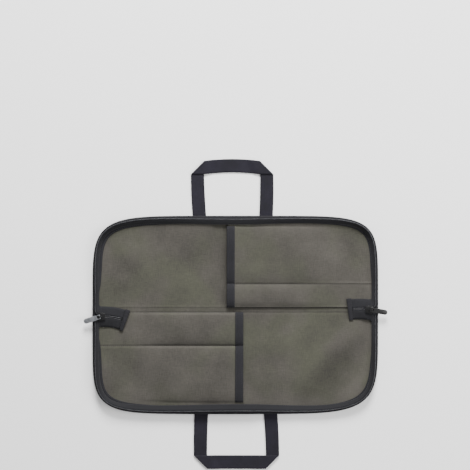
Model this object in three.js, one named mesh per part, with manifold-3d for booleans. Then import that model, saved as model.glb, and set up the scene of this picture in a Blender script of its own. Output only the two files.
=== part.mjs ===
// A chef's knife roll, unzipped and laid open on its outer side. Millimetres, +X along the fold line,
// +Y from the lower half to the upper half, +Z up. The origin is at the middle of the bottom of the box
// that holds the whole object.
import * as THREE from "three";
import { mergeVertices } from "three/addons/utils/BufferGeometryUtils.js";
import Module from "manifold-3d";

const wasm = await Module();
wasm.setup();

// Driving dimensions: the case
const caseLength = 477;
const caseHeight = 331;
const canvasThickness = 1;
const tapeThickness = 1;
const layerGap = 0.3;

// How square each rounded corner is: a larger exponent is a squarer corner
const cornerExponent = { upperRight: 6.9, upperLeft: 6.1, lowerLeft: 6.6, lowerRight: 5.6 };
const gridDiagonal = 0.9;

// Driving dimensions: the tape folded round the edge
const bindingInnerFlap = 9;
const bindingOuterFlap = 12;
const bindingCorner = 1.2;
const borderShelf = 20;
const borderFall = 26;
const borderEase = 34;

// Driving dimensions: the pockets. A seam is given by its height above the fold line.
const pocketRise = 7;
const mouthTapeWidth = 12;
const mouthFall = 26;
const mouthCorner = 0.5;
const seamMargin = 1;
const pocketMargin = 0.7;
const knotRoom = 0.05;
const pockets = {
  right: { side: 1, half: 1, mouth: -13, foldSeam: 12.2, divider: 52 },
  left: { side: -1, half: -1, mouth: 12, foldSeam: 4.7, divider: -51 },
};
const closedEndFlat = 0.8;
const closedEndFull = 0.5;

// Rise of a pocket across its width: share of the width, share of the pocket's full rise
const pocketProfile = [
  { share: 0, rise: 0 },
  { share: 0.05, rise: 0.5 },
  { share: 0.16, rise: 0.84 },
  { share: 0.36, rise: 1 },
  { share: 0.64, rise: 1 },
  { share: 0.84, rise: 0.84 },
  { share: 0.95, rise: 0.5 },
  { share: 1, rise: 0 },
];

// Driving dimensions: the handles
const webbingWidth = 22.5;
const webbingThickness = 1.6;
const strapOverlap = 45;
const strapMargin = 3;
const strapFall = 30;
const barSteps = 8;
// Where each leg leaves the border, how far it leans sideways up to the bar, and how far the bar bows
const handles = {
  upper: { half: 1, leftLeg: -60, leftLean: -3, rightLeg: 51.4, rightLean: 1, reach: 80.5, bow: 3.2 },
  lower: { half: -1, leftLeg: -56.8, leftLean: -1.2, rightLeg: 59, rightLean: 3.1, reach: 80.5, bow: 0 },
};

// Driving dimensions: the zip
const zipTapeWidth = 17;
const coilWidth = 2.4;
const coilThickness = 2.4;
const zipLeave = 22;
const zipBow = 1;
const zipSide = 1;
const zipSag = 0.5;
const zipSliderSag = 0.2;
// The bend beside a slider: how far each line runs on past the slider and along the border
const zipKnees = {
  coil: { reach: 7, drop: 17 },
  middle: { reach: 4, drop: 8 },
  edge: { reach: 3, drop: 4 },
};
const kneeShares = [0.2, 0.4, 0.6, 0.8];
const tailShares = [0.66, 0.33];

// How the sewn zip tape stands round the border, along one half from the right fold to the left fold:
// inset of its sewn edge (upper and lower half), inset of its coil, height of the coil above the edge
const zipStand = [
  { share: 0, edgeUpper: 11, edgeLower: 11, coil: 5.5, stand: 2.6 },
  { share: 0.07, edgeUpper: 11, edgeLower: 11, coil: 5, stand: 6.5 },
  { share: 0.17, edgeUpper: 9.5, edgeLower: 10, coil: 4, stand: 8 },
  { share: 0.28, edgeUpper: 11.5, edgeLower: 13, coil: 4.5, stand: 5.5 },
  { share: 0.5, edgeUpper: 14.5, edgeLower: 17, coil: 6, stand: 3.5 },
  { share: 0.72, edgeUpper: 12, edgeLower: 14, coil: 4.5, stand: 5.5 },
  { share: 0.83, edgeUpper: 9.5, edgeLower: 10, coil: 4, stand: 8 },
  { share: 0.93, edgeUpper: 11, edgeLower: 11, coil: 5, stand: 6.5 },
  { share: 1, edgeUpper: 11, edgeLower: 11, coil: 5.5, stand: 2.6 },
];

// The two ends of the zip: where the slider's centre lies, the way its wide end faces, the closed tail
// that runs inward behind it and how far it bends, and the way the pull lies. Angles in degrees.
const zipEnds = {
  right: { side: 1, inset: 15.5, y: 9.2, facing: -4, tail: 34, bend: 11, pullFacing: -10.7 },
  left: { side: -1, inset: 15.5, y: -2.7, facing: 178, tail: 41, bend: -18, pullFacing: 198 },
};
const tailDrop = 2.1;
const tabLength = 7;
const tabOverhang = 1.3;
const tabMargin = 1.2;

// Driving dimensions: a slider and its pull
const slider = { length: 13, wide: 14, narrow: 10.6, plate: 1.1, mouth: 3.3, flange: 0.8, lip: 0.6 };
const nose = { shoulder: 3, corner: 2.5, wedgeBack: 5, wedgeWide: 1.5, wedgeTip: 0.5, wedgeHalf: 0.7 };
const arch = { width: 1.6, thickness: 1.2, half: 3.2, clearance: 0.4, root: 0.4, corner: 1, setBack: 1 };
const pull = { length: 29, width: 8.4, thickness: 1.2, bar: 1.2 };
const pullNeck = { eyeHalf: 2.5, eye: 5.2, step: 0.6, ease: 3 };
const barLift = 1.5;
const pullTipSteps = 10;

// The soft folds of the cloth that lies free in the lower right: place as shares of the half length and
// half height, direction in degrees, size as shares of the half height, rise in millimetres
const softFolds = [
  { x: 0.62, y: -0.56, turn: 45, length: 0.5, width: 0.11, rise: 2.6 },
  { x: 0.78, y: -0.3, turn: 55, length: 0.3, width: 0.1, rise: 1.6 },
  { x: 0.4, y: -0.32, turn: 10, length: 0.4, width: 0.14, rise: 1.2 },
  { x: -0.55, y: 0.3, turn: 5, length: 0.5, width: 0.16, rise: 1.2 },
  { x: -0.78, y: 0.62, turn: 140, length: 0.25, width: 0.1, rise: 1.4 },
];

// Knots of the sheets' grid, as shares from the middle to the border
const lengthKnots = [0, 0.13, 0.25, 0.37, 0.5, 0.6, 0.7, 0.8, 0.88, 0.94, 0.98, 1];
const heightKnots = [0, 0.17, 0.33, 0.5, 0.62, 0.73, 0.83, 0.91, 0.96, 1];

// Values worked out from the driving dimensions
const halfLength = caseLength / 2;
const halfHeight = caseHeight / 2;
const layer = canvasThickness + layerGap;
const tapeLayer = tapeThickness + layerGap;
const sheetInset = tapeThickness + layerGap;
const pocketInset = sheetInset + pocketMargin;
const strapLiftHeight = webbingThickness + layerGap;
const legEdges = Object.values(handles).flatMap((h) => [h.leftLeg, h.rightLeg]);
const strapReach = Math.max(...legEdges.map(Math.abs)) + webbingWidth / 2 + strapMargin;
const strapInner = halfHeight - strapOverlap - strapMargin;

const clamp01 = (value) => Math.min(1, Math.max(0, value));
const ramp = (from, to, value) => clamp01((value - from) / (to - from));
const smooth = (value) => value * value * (3 - 2 * value);
const radians = (degrees) => (degrees * Math.PI) / 180;
const lerp = THREE.MathUtils.lerp;

// The value of a table's column at a share, eased between its rows
function tableValue(rows, column, share) {
  const last = rows.findIndex((row) => row.share >= share);
  if (last <= 0) return rows[Math.max(0, last)][column];
  const [before, after] = [rows[last - 1], rows[last]];
  return lerp(before[column], after[column], smooth(ramp(before.share, after.share, share)));
}

// The outline: four quarters of a superellipse, one exponent for each corner
function exponentAt(x, y) {
  if (y >= 0) return x >= 0 ? cornerExponent.upperRight : cornerExponent.upperLeft;
  return x >= 0 ? cornerExponent.lowerRight : cornerExponent.lowerLeft;
}

const across = (share, exponent) => Math.pow(1 - Math.pow(Math.abs(share), exponent), 1 / exponent);

// A point of the outline with its inward normal, from a point on the border of the square -1 to 1
function borderPoint(u, v) {
  const exponent = exponentAt(u, v);
  const diagonal = Math.pow(0.5, 1 / exponent);
  const point = new THREE.Vector2();
  if (Math.abs(v) >= Math.abs(u)) {
    const share = diagonal * (u / Math.abs(v));
    point.set(halfLength * share, Math.sign(v) * halfHeight * across(share, exponent));
  } else {
    const share = diagonal * (v / Math.abs(u));
    point.set(Math.sign(u) * halfLength * across(share, exponent), halfHeight * share);
  }
  return { point, normal: inwardNormal(point, exponent) };
}

function inwardNormal(point, exponent) {
  const slope = (value, half) => {
    const share = Math.min(1, Math.abs(value) / half);
    return (-Math.sign(value) * Math.pow(share, exponent - 1)) / half;
  };
  return new THREE.Vector2(slope(point.x, halfLength), slope(point.y, halfHeight)).normalize();
}

function insetPoint(u, v, inset) {
  const { point, normal } = borderPoint(u, v);
  return point.addScaledVector(normal, inset);
}

// Distance from the outline, for a point inside it
function depthInside(x, y) {
  const exponent = exponentAt(x, y);
  const powers = Math.pow(Math.abs(x) / halfLength, exponent) + Math.pow(Math.abs(y) / halfHeight, exponent);
  const share = Math.pow(powers, 1 / exponent);
  if (share < 1e-6) return halfHeight;
  const edge = new THREE.Vector2(x / share, y / share);
  return (1 - share) * -edge.dot(inwardNormal(edge, exponent));
}

// A sheet's grid point: straight rows and columns in the middle that bend round towards the border
function sheetPoint(u, v, inset = sheetInset) {
  const ring = Math.max(Math.abs(u), Math.abs(v));
  const plain = new THREE.Vector2(halfLength * u, halfHeight * v).multiplyScalar(gridDiagonal);
  if (ring < 1e-9) return plain;
  const bent = insetPoint(u / ring, v / ring, inset).multiplyScalar(ring);
  return plain.lerp(bent, smooth(ramp(0.5, 0.83, ring)));
}

// Heights of the layers above the surface that the case lies on
function strapLift(x, y) {
  const sideways = 1 - ramp(strapReach, strapReach + strapFall, Math.abs(x));
  const inward = ramp(strapInner - strapFall, strapInner, Math.abs(y));
  return strapLiftHeight * sideways * inward;
}

function outerUnderside(x, y) {
  const shelf = 1 - ramp(borderShelf, borderShelf + borderFall, depthInside(x, y));
  return strapLift(x, y) + tapeLayer * shelf;
}

function softFold(x, y) {
  let rise = 0;
  for (const fold of softFolds) {
    const turn = radians(fold.turn);
    const [dx, dy] = [x - fold.x * halfLength, y - fold.y * halfHeight];
    const along = (dx * Math.cos(turn) + dy * Math.sin(turn)) / (fold.length * halfHeight);
    const aside = (dy * Math.cos(turn) - dx * Math.sin(turn)) / (fold.width * halfHeight);
    rise += fold.rise * Math.exp(-along * along - aside * aside);
  }
  return rise * ramp(borderShelf, borderShelf + borderFall, depthInside(x, y));
}

const liningUnderside = (x, y) => outerUnderside(x, y) + layer + softFold(x, y);
const liningTop = (x, y) => liningUnderside(x, y) + canvasThickness;

// The height of the top layer of cloth at the border: a pocket panel adds a layer where it lies or
// starts close by, and its mouth one more
function stackTop(x, y) {
  let top = liningTop(x, y);
  for (const pocket of Object.values(pockets)) {
    const fromMouth = (x - pocket.mouth) * pocket.side;
    const fromSeam = (y - pocket.foldSeam) * pocket.half;
    if (fromMouth < -borderEase || fromSeam < -borderEase) continue;
    top += layer;
    if (fromMouth < mouthTapeWidth + mouthFall + borderEase) top += tapeLayer;
  }
  return top;
}

// Solids from vertices and triangles, turned to face out
function solidGeometry(vertices, triangles) {
  let volume = 0;
  for (const [a, b, c] of triangles) {
    volume += vertices[a].dot(new THREE.Vector3().crossVectors(vertices[b], vertices[c]));
  }
  const facing = volume < 0 ? triangles.map(([a, b, c]) => [a, c, b]) : triangles;
  const geometry = new THREE.BufferGeometry().setFromPoints(vertices);
  geometry.setIndex(facing.flat());
  geometry.computeVertexNormals();
  return geometry;
}

// A solid lofted through sections with the same number of points, either a closed ring or capped
function loft(sections, closed = false) {
  const count = sections[0].length;
  const triangles = [];
  const spans = closed ? sections.length : sections.length - 1;
  for (let i = 0; i < spans; i++) {
    const here = i * count;
    const next = ((i + 1) % sections.length) * count;
    for (let j = 0; j < count; j++) {
      const k = (j + 1) % count;
      triangles.push([here + j, here + k, next + k], [here + j, next + k, next + j]);
    }
  }
  if (!closed) {
    const flat = THREE.ShapeUtils.triangulateShape(sectionOutline(sections[0]), []);
    const lastFlat = THREE.ShapeUtils.triangulateShape(sectionOutline(sections.at(-1)), []);
    const last = (sections.length - 1) * count;
    for (const [a, b, c] of flat) triangles.push([a, c, b]);
    for (const [a, b, c] of lastFlat) triangles.push([last + a, last + b, last + c]);
  }
  return solidGeometry(sections.flat(), triangles);
}

// A section's points in its own plane, in the same turn as the section
function sectionOutline(section) {
  const normal = new THREE.Vector3();
  for (let j = 0; j < section.length; j++) {
    normal.add(new THREE.Vector3().crossVectors(section[j], section[(j + 1) % section.length]));
  }
  const turn = new THREE.Quaternion().setFromUnitVectors(normal.normalize(), new THREE.Vector3(0, 0, 1));
  return section.map((point) => {
    const flat = point.clone().applyQuaternion(turn);
    return new THREE.Vector2(flat.x, flat.y);
  });
}

// A sheet of cloth over a grid of knots, with its underside given by a function of place and knot
function sheet(columns, rows, underside, inset) {
  const vertices = [];
  for (const lift of [0, canvasThickness]) {
    for (const v of rows) {
      for (const u of columns) {
        const { x, y } = sheetPoint(u, v, inset);
        vertices.push(new THREE.Vector3(x, y, underside(x, y, u, v) + lift));
      }
    }
  }
  const wide = columns.length;
  const size = wide * rows.length;
  const triangles = [];
  for (let j = 0; j + 1 < rows.length; j++) {
    for (let i = 0; i + 1 < wide; i++) {
      const a = j * wide + i;
      const [b, c, d] = [a + 1, a + wide + 1, a + wide];
      triangles.push([a, c, b], [a, d, c]);
      triangles.push([size + a, size + b, size + c], [size + a, size + c, size + d]);
    }
  }
  const rim = [];
  for (let i = 0; i < wide - 1; i++) rim.push(i);
  for (let j = 0; j < rows.length - 1; j++) rim.push(j * wide + wide - 1);
  for (let i = wide - 1; i > 0; i--) rim.push(size - wide + i);
  for (let j = rows.length - 1; j > 0; j--) rim.push(j * wide);
  rim.forEach((a, i) => {
    const b = rim[(i + 1) % rim.length];
    triangles.push([a, b, size + b], [a, size + b, size + a]);
  });
  return solidGeometry(vertices, triangles);
}

const mirrored = (knots) => [...knots.slice(1).map((knot) => -knot).reverse(), ...knots];

// The border's stations, once round from the middle of the right side
function borderStations() {
  const [columns, rows] = [mirrored(lengthKnots), mirrored(heightKnots)];
  const round = [];
  for (const v of rows.slice(0, -1)) round.push([1, v]);
  for (const u of columns.slice(1).reverse()) round.push([u, 1]);
  for (const v of rows.slice(1).reverse()) round.push([-1, v]);
  for (const u of columns.slice(0, -1)) round.push([u, -1]);
  return round;
}

function edgeBinding() {
  const sections = borderStations().map(([u, v]) => {
    const at = (inset, z) => {
      const { x, y } = insetPoint(u, v, inset);
      return new THREE.Vector3(x, y, z);
    };
    const { x, y } = insetPoint(u, v, bindingInnerFlap / 2);
    const low = strapLift(x, y);
    const high = stackTop(x, y) + tapeLayer;
    return [
      at(bindingOuterFlap, low),
      at(bindingCorner, low),
      at(0, low + bindingCorner),
      at(0, high - bindingCorner),
      at(bindingCorner, high),
      at(bindingInnerFlap, high),
      at(bindingInnerFlap, high - tapeThickness),
      at(tapeThickness, high - tapeThickness),
      at(tapeThickness, low + tapeThickness),
      at(bindingOuterFlap, low + tapeThickness),
    ];
  });
  return loft(sections, true);
}

// The place of a height above the fold line, as a grid row: exact where the rows are straight
const rowAt = (y) => y / (halfHeight * gridDiagonal);
const columnAt = (x) => x / (halfLength * gridDiagonal);

// How far in the zip tape is sewn at the middle of the upper or lower border
const sewnInset = (half) => tableValue(zipStand, half > 0 ? "edgeUpper" : "edgeLower", 0.5);

// The rows of a pocket panel: each of its two pockets arches between its seams
function pocketRows(pocket) {
  const borderSeam = 1 - (sewnInset(pocket.half) + seamMargin) / halfHeight;
  const seams = [rowAt(pocket.foldSeam), rowAt(pocket.divider), pocket.half * borderSeam];
  const rows = [];
  for (let i = 0; i < 2; i++) {
    for (const { share, rise } of pocketProfile.slice(i)) {
      rows.push({ row: lerp(seams[i], seams[i + 1], share), rise });
    }
  }
  rows.push({ row: pocket.half, rise: 0 });
  return rows;
}

// The columns of a pocket panel, from its mouth to the border it is closed by
function pocketColumns(pocket) {
  const mouth = columnAt(pocket.mouth);
  const flap = columnAt(pocket.mouth + pocket.side * (mouthTapeWidth + seamMargin));
  const fall = columnAt(pocket.mouth + pocket.side * (mouthTapeWidth + mouthFall));
  const outside = lengthKnots.filter((knot) => knot > Math.abs(fall) + knotRoom);
  return [mouth, flap, fall, ...outside.map((knot) => knot * pocket.side)];
}

// The underside of a pocket panel at a place, for a row's share of the rise
function pocketUnderside(pocket, x, y, u, rise) {
  const fromMouth = (x - pocket.mouth) * pocket.side;
  const mouthLift = tapeLayer * (1 - ramp(mouthTapeWidth + seamMargin, mouthTapeWidth + mouthFall, fromMouth));
  const open = 1 - smooth(ramp(closedEndFull, closedEndFlat, u * pocket.side));
  return liningTop(x, y) + layerGap + mouthLift + pocketRise * rise * open;
}

function pocketPanel(pocket) {
  const rows = pocketRows(pocket);
  const rises = new Map(rows.map(({ row, rise }) => [row, rise]));
  const underside = (x, y, u, v) => pocketUnderside(pocket, x, y, u, rises.get(v));
  const rowShares = rows.map(({ row }) => row);
  return sheet(pocketColumns(pocket), rowShares, underside, pocketInset);
}

// The tape folded over a pocket's mouth, from the seam near the fold to the border's inner flap
function pocketEdge(pocket) {
  const mouth = columnAt(pocket.mouth);
  const rows = pocketRows(pocket).slice(0, -1);
  const sections = rows.map(({ row, rise }) => {
    const { x, y } = sheetPoint(mouth, row, pocketInset);
    const under = pocketUnderside(pocket, x, y, mouth, rise);
    const high = under + canvasThickness + tapeLayer;
    const low = under - tapeLayer;
    const at = (inward, z) => new THREE.Vector3(x + pocket.side * inward, y, z);
    const front = -tapeLayer;
    return [
      at(mouthTapeWidth, low),
      at(front + mouthCorner, low),
      at(front, low + mouthCorner),
      at(front, high - mouthCorner),
      at(front + mouthCorner, high),
      at(mouthTapeWidth, high),
      at(mouthTapeWidth, high - tapeThickness),
      at(-layerGap, high - tapeThickness),
      at(-layerGap, low + tapeThickness),
      at(mouthTapeWidth, low + tapeThickness),
    ];
  });
  return loft(sections);
}

// The frame of a zip end: its slider's centre, the way out and the way across to the upper half
function zipFrame(end) {
  const turn = radians(end.facing);
  const out = new THREE.Vector2(Math.cos(turn), Math.sin(turn));
  const up = new THREE.Vector2(-out.y, out.x).multiplyScalar(end.side);
  const centre = new THREE.Vector2(end.side * (halfLength - end.inset), end.y);
  return { out, up, centre };
}

// A point of the zip end: how far inward from the slider's centre, and how far across to the upper half
function tailPoint(end, along, sideways) {
  const { out, up, centre } = zipFrame(end);
  const straight = slider.length / 2;
  if (along <= straight) {
    return centre.clone().addScaledVector(out, -along).addScaledVector(up, sideways);
  }
  const bent = along - straight;
  const rate = radians(end.bend) / (end.tail - straight);
  const turned = rate * bent;
  const inward = out.clone().negate();
  const left = new THREE.Vector2(-inward.y, inward.x);
  const axis = centre.clone().addScaledVector(inward, straight + Math.sin(turned) / rate);
  axis.addScaledVector(left, (1 - Math.cos(turned)) / rate);
  return axis.add(up.rotateAround(new THREE.Vector2(), turned).multiplyScalar(sideways));
}

// Heights at the zip ends: the slider's lower plate clears the tape that is folded round the edge
const sliderHalf = slider.mouth / 2 + slider.plate;
const borderTop = 2 * tapeLayer + 3 * layer;
const sliderHeight = borderTop + sliderHalf;
const tabStart = (end) => end.tail - tabLength + tabOverhang;
const tailHeight = (end, along) =>
  sliderHeight - tailDrop * smooth(ramp(slider.length / 2, tabStart(end), along));
const coilApart = coilWidth / 2 + layerGap / 2;
const coilEnd = 2 * layerGap;

// How the coils part inside the slider: place along it, as shares of its length, and the spread
const sliderSpread = [
  { along: 0.5, apart: 0, edge: 6.5 },
  { along: 0.1, apart: 0, edge: 3.6 },
  { along: -0.2, apart: 1, edge: 0.8 },
  { along: -0.5, apart: 2.7, edge: -1 },
];

// One station of a half zip: the coil's centre, the middle of the tape and its outer edge
function tailStation(end, half, along) {
  const coil = tailPoint(end, along, half * coilApart);
  const middle = tailPoint(end, along, half * (slider.wide / 2 + zipSide));
  const edge = tailPoint(end, along, half * zipTapeWidth);
  const height = tailHeight(end, along);
  return {
    coil: new THREE.Vector3(coil.x, coil.y, height),
    middle: new THREE.Vector3(middle.x, middle.y, height - zipSag),
    edge: new THREE.Vector3(edge.x, edge.y, borderTop - layer + tapeThickness / 2 + layerGap),
  };
}

function sliderStation(end, half, { along, apart, edge }) {
  const station = tailStation(end, half, slider.length / 2);
  const coil = tailPoint(end, along * slider.length, half * (coilApart + apart));
  const middle = tailPoint(end, lerp(along * slider.length, edge, 0.5), half * (slider.wide / 2 + zipSide));
  const outer = tailPoint(end, edge, half * zipTapeWidth);
  station.coil.set(coil.x, coil.y, sliderHeight);
  station.middle.set(middle.x, middle.y, sliderHeight - zipSliderSag);
  station.edge.set(outer.x, outer.y, borderTop + tapeThickness / 2);
  return station;
}

// A station where the tape is sewn to the border
function sewnStation(u, v, share) {
  const column = v >= 0 ? "edgeUpper" : "edgeLower";
  const sewn = insetPoint(u, v, tableValue(zipStand, column, share));
  const coil = insetPoint(u, v, tableValue(zipStand, "coil", share));
  const base = stackTop(sewn.x, sewn.y) + tapeLayer + layerGap + tapeThickness / 2;
  const station = {
    coil: new THREE.Vector3(coil.x, coil.y, base + tableValue(zipStand, "stand", share)),
    edge: new THREE.Vector3(sewn.x, sewn.y, base),
  };
  station.middle = station.coil.clone().lerp(station.edge, 0.5);
  const { normal } = borderPoint(u, v);
  station.middle.x += normal.x * zipBow;
  station.middle.y += normal.y * zipBow;
  return station;
}

// The stations of one half's border that the zip is sewn to, with their share of the way round
function sewnStations(half) {
  const leave = (end) => rowAt(end.y + half * zipLeave);
  const rows = (end) => heightKnots.filter((knot) => knot > Math.abs(leave(end)) + knotRoom);
  const path = [[1, leave(zipEnds.right)]];
  for (const knot of rows(zipEnds.right)) path.push([1, half * knot]);
  for (const knot of mirrored(lengthKnots).reverse().slice(1)) path.push([knot, half]);
  for (const knot of rows(zipEnds.left).reverse().slice(1)) path.push([-1, half * knot]);
  path.push([-1, leave(zipEnds.left)]);
  const points = path.map(([u, v]) => borderPoint(u, v).point);
  const lengths = points.map((point, i) => (i ? point.distanceTo(points[i - 1]) : 0));
  const total = lengths.reduce((sum, length) => sum + length, 0);
  let gone = 0;
  return path.map(([u, v], i) => {
    gone += lengths[i];
    return sewnStation(u, v, gone / total);
  });
}

// The free stretch between a slider's mouth and the border: each line bends round its own corner
function turnStations(end, half, inner, outer) {
  const { out } = zipFrame(end);
  const away = new THREE.Vector3(out.x, out.y, 0);
  const border = new THREE.Vector3(0, -half, 0);
  const bend = (key, { reach, drop }) => {
    const knee = inner[key].clone().addScaledVector(away, reach);
    knee.lerp(outer[key].clone().addScaledVector(border, drop), 0.5);
    return new THREE.QuadraticBezierCurve3(inner[key], knee, outer[key]);
  };
  const lines = Object.entries(zipKnees).map(([key, knee]) => [key, bend(key, knee)]);
  return kneeShares.map((share) => {
    const spots = lines.map(([key, curve]) => [key, curve.getPoint(share)]);
    return Object.fromEntries(spots);
  });
}

// All the stations of a half zip, from the end of the right tail to the end of the left tail
function zipStations(half) {
  const endPart = (end) => {
    const start = tabStart(end);
    const stops = [end.tail, start, ...tailShares.map((share) => lerp(slider.length / 2, start, share))];
    const tail = stops.map((along) => tailStation(end, half, along));
    return [...tail, ...sliderSpread.map((row) => sliderStation(end, half, row))];
  };
  const right = endPart(zipEnds.right);
  const left = endPart(zipEnds.left).reverse();
  const sewn = sewnStations(half);
  const rightTurn = turnStations(zipEnds.right, half, right.at(-1), sewn[0]);
  const leftTurn = turnStations(zipEnds.left, half, left[0], sewn.at(-1)).reverse();
  return [...right, ...rightTurn, ...sewn, ...leftTurn, ...left];
}

// The direction square to the tape at each station
function tapeNormals(stations) {
  return stations.map((station, i) => {
    const before = stations[Math.max(0, i - 1)].coil;
    const after = stations[Math.min(stations.length - 1, i + 1)].coil;
    const along = after.clone().sub(before);
    const wide = station.edge.clone().sub(station.coil);
    const normal = new THREE.Vector3().crossVectors(along, wide).normalize();
    return normal.z < 0 ? normal.negate() : normal;
  });
}

function zipTape(half) {
  const stations = zipStations(half);
  const normals = tapeNormals(stations);
  const sections = stations.map(({ coil, middle, edge }, i) => {
    const inward = middle.clone().sub(coil).normalize();
    const start = coil.clone().addScaledVector(inward, coilWidth / 2 + layerGap);
    const lifted = (point, lift) => point.clone().addScaledVector(normals[i], lift);
    const lift = tapeThickness / 2;
    return [
      lifted(start, -lift),
      lifted(middle, -lift),
      lifted(edge, -lift),
      lifted(edge, lift),
      lifted(middle, lift),
      lifted(start, lift),
    ];
  });
  return loft(sections);
}

function zipCoil(half) {
  const all = zipStations(half);
  const shorten = (station, next) => {
    const share = coilEnd / station.coil.distanceTo(next.coil);
    return { ...station, coil: station.coil.clone().lerp(next.coil, share) };
  };
  const stations = [shorten(all[1], all[2]), ...all.slice(2, -2), shorten(all.at(-2), all.at(-3))];
  const normals = tapeNormals(stations);
  const sections = stations.map(({ coil, middle, edge }, i) => {
    const inward = edge.clone().sub(coil);
    inward.addScaledVector(normals[i], -inward.dot(normals[i])).normalize();
    const corner = (turn) => {
      const wide = (Math.cos(turn) * coilWidth) / 2;
      const high = (Math.sin(turn) * coilThickness) / 2;
      return coil.clone().addScaledVector(inward, wide).addScaledVector(normals[i], high);
    };
    return [0, 60, 120, 180, 240, 300].map((degrees) => corner(radians(degrees)));
  });
  return loft(sections);
}

// Solid joins
function toSolid(geometry) {
  const bare = geometry.clone();
  bare.deleteAttribute("normal");
  bare.deleteAttribute("uv");
  const merged = mergeVertices(bare, 1e-4);
  const vertProperties = new Float32Array(merged.attributes.position.array);
  const triVerts = new Uint32Array(merged.index.array);
  return new wasm.Manifold(new wasm.Mesh({ numProp: 3, vertProperties, triVerts }));
}

function joined(geometries) {
  const solid = geometries.map(toSolid).reduce((sum, next) => sum.add(next));
  const mesh = solid.getMesh();
  const geometry = new THREE.BufferGeometry();
  const positions = new Float32Array(mesh.numVert * 3);
  for (let i = 0; i < mesh.numVert; i++) {
    const from = i * mesh.numProp;
    positions.set(mesh.vertProperties.subarray(from, from + 3), i * 3);
  }
  geometry.setAttribute("position", new THREE.BufferAttribute(positions, 3));
  geometry.setIndex(new THREE.BufferAttribute(new Uint32Array(mesh.triVerts), 1));
  geometry.computeVertexNormals();
  return geometry;
}

// A flat outline raised from one height to another
function slab(points, low, high, holes = []) {
  const shape = new THREE.Shape(points.map(([x, y]) => new THREE.Vector2(x, y)));
  shape.holes = holes.map((hole) => new THREE.Path(hole.map(([x, y]) => new THREE.Vector2(x, y))));
  const geometry = new THREE.ExtrudeGeometry(shape, { depth: high - low, bevelEnabled: false });
  return geometry.translate(0, 0, low);
}

const rectangle = (x0, x1, y0, y1) => [[x0, y0], [x1, y0], [x1, y1], [x0, y1]];

// A zip slider in its own frame: +X to its wide end, the middle of its channel at height 0
const barPlace = slider.length / 2 - arch.half - arch.setBack;

function sliderGeometry() {
  const { length, wide, narrow, plate, mouth, flange, lip } = slider;
  const half = length / 2;
  const shield = [
    [-half, -narrow / 2],
    [half - nose.shoulder, -wide / 2],
    [half, nose.corner - wide / 2],
    [half, wide / 2 - nose.corner],
    [half - nose.shoulder, wide / 2],
    [-half, narrow / 2],
  ];
  const pieces = [
    slab(shield, mouth / 2, mouth / 2 + plate),
    slab(shield, -mouth / 2 - plate, -mouth / 2),
  ];
  const wedge = [
    [half - nose.wedgeBack, 0],
    [half - nose.wedgeWide, -nose.wedgeHalf],
    [half - nose.wedgeTip, 0],
    [half - nose.wedgeWide, nose.wedgeHalf],
  ];
  pieces.push(slab(wedge, -mouth / 2 - plate / 2, mouth / 2 + plate / 2));
  for (const side of [-1, 1]) {
    const rail = [
      [-half, (side * narrow) / 2],
      [half - nose.shoulder, (side * wide) / 2],
      [half - nose.shoulder, side * (wide / 2 - flange)],
      [-half, side * (narrow / 2 - flange)],
    ];
    pieces.push(slab(rail, mouth / 2 - lip, mouth / 2 + plate / 2));
    pieces.push(slab(rail, -mouth / 2 - plate / 2, -mouth / 2 + lip));
  }
  return joined([...pieces, bridge(mouth / 2 + plate)]);
}

// The bridge over the slider's top plate that the pull's bar turns in
function bridge(top) {
  const inner = arch.half - arch.thickness;
  const under = barLift + pull.bar / 2 + arch.clearance;
  const high = under + arch.thickness;
  const profile = [
    [-arch.half, -arch.root],
    [-arch.half, high - arch.corner],
    [arch.corner - arch.half, high],
    [arch.half - arch.corner, high],
    [arch.half, high - arch.corner],
    [arch.half, -arch.root],
    [inner, -arch.root],
    [inner, under],
    [-inner, under],
    [-inner, -arch.root],
  ];
  const side = slab(profile, -arch.width / 2, arch.width / 2);
  return side.rotateX(Math.PI / 2).translate(barPlace, 0, top);
}

// A pull in its own frame: the bar's axis along Y through the origin, the pull lying along +X
function pullGeometry() {
  const { length, width, thickness, bar } = pull;
  const { eyeHalf, eye, step, ease } = pullNeck;
  const body = [];
  const tipCentre = length - width / 2;
  for (let i = 0; i <= pullTipSteps; i++) {
    const turn = radians(180 * (i / pullTipSteps) - 90);
    body.push([tipCentre + (Math.cos(turn) * width) / 2, (Math.sin(turn) * width) / 2]);
  }
  const neck = width / 2 - step;
  body.push([eye + ease, width / 2], [eye, neck], [-bar / 2, neck], [-bar / 2, -neck], [eye, -neck]);
  body.push([eye + ease, -width / 2]);
  const eyeHole = rectangle(bar / 2, eye, -eyeHalf, eyeHalf);
  return slab(body, -thickness / 2, thickness / 2, [eyeHole]);
}

// The folded tab round the end of a closed tail
function endTab(end) {
  const inner = tapeThickness / 2 + layerGap;
  const outer = inner + tapeThickness;
  const { coil, middle, edge } = tailStation(end, 1, end.tail);
  const stops = [
    { sideways: 0, z: coil.z },
    { sideways: slider.wide / 2 + zipSide, z: middle.z },
    { sideways: zipTapeWidth, z: edge.z },
    { sideways: zipTapeWidth + tabMargin, z: edge.z },
  ];
  const mirroredStops = stops.slice(1).map(({ sideways, z }) => ({ sideways: -sideways, z })).reverse();
  const sections = [...mirroredStops, ...stops].map(({ sideways, z }) => {
    const at = (along, lift) => {
      const { x, y } = tailPoint(end, along, sideways);
      return new THREE.Vector3(x, y, z + lift);
    };
    const start = tabStart(end);
    const stop = end.tail + tabOverhang;
    return [
      at(start, -outer),
      at(stop, -outer),
      at(stop, outer),
      at(start, outer),
      at(start, inner),
      at(end.tail + layerGap, inner),
      at(end.tail + layerGap, -inner),
      at(start, -inner),
    ];
  });
  return loft(sections);
}

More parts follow.
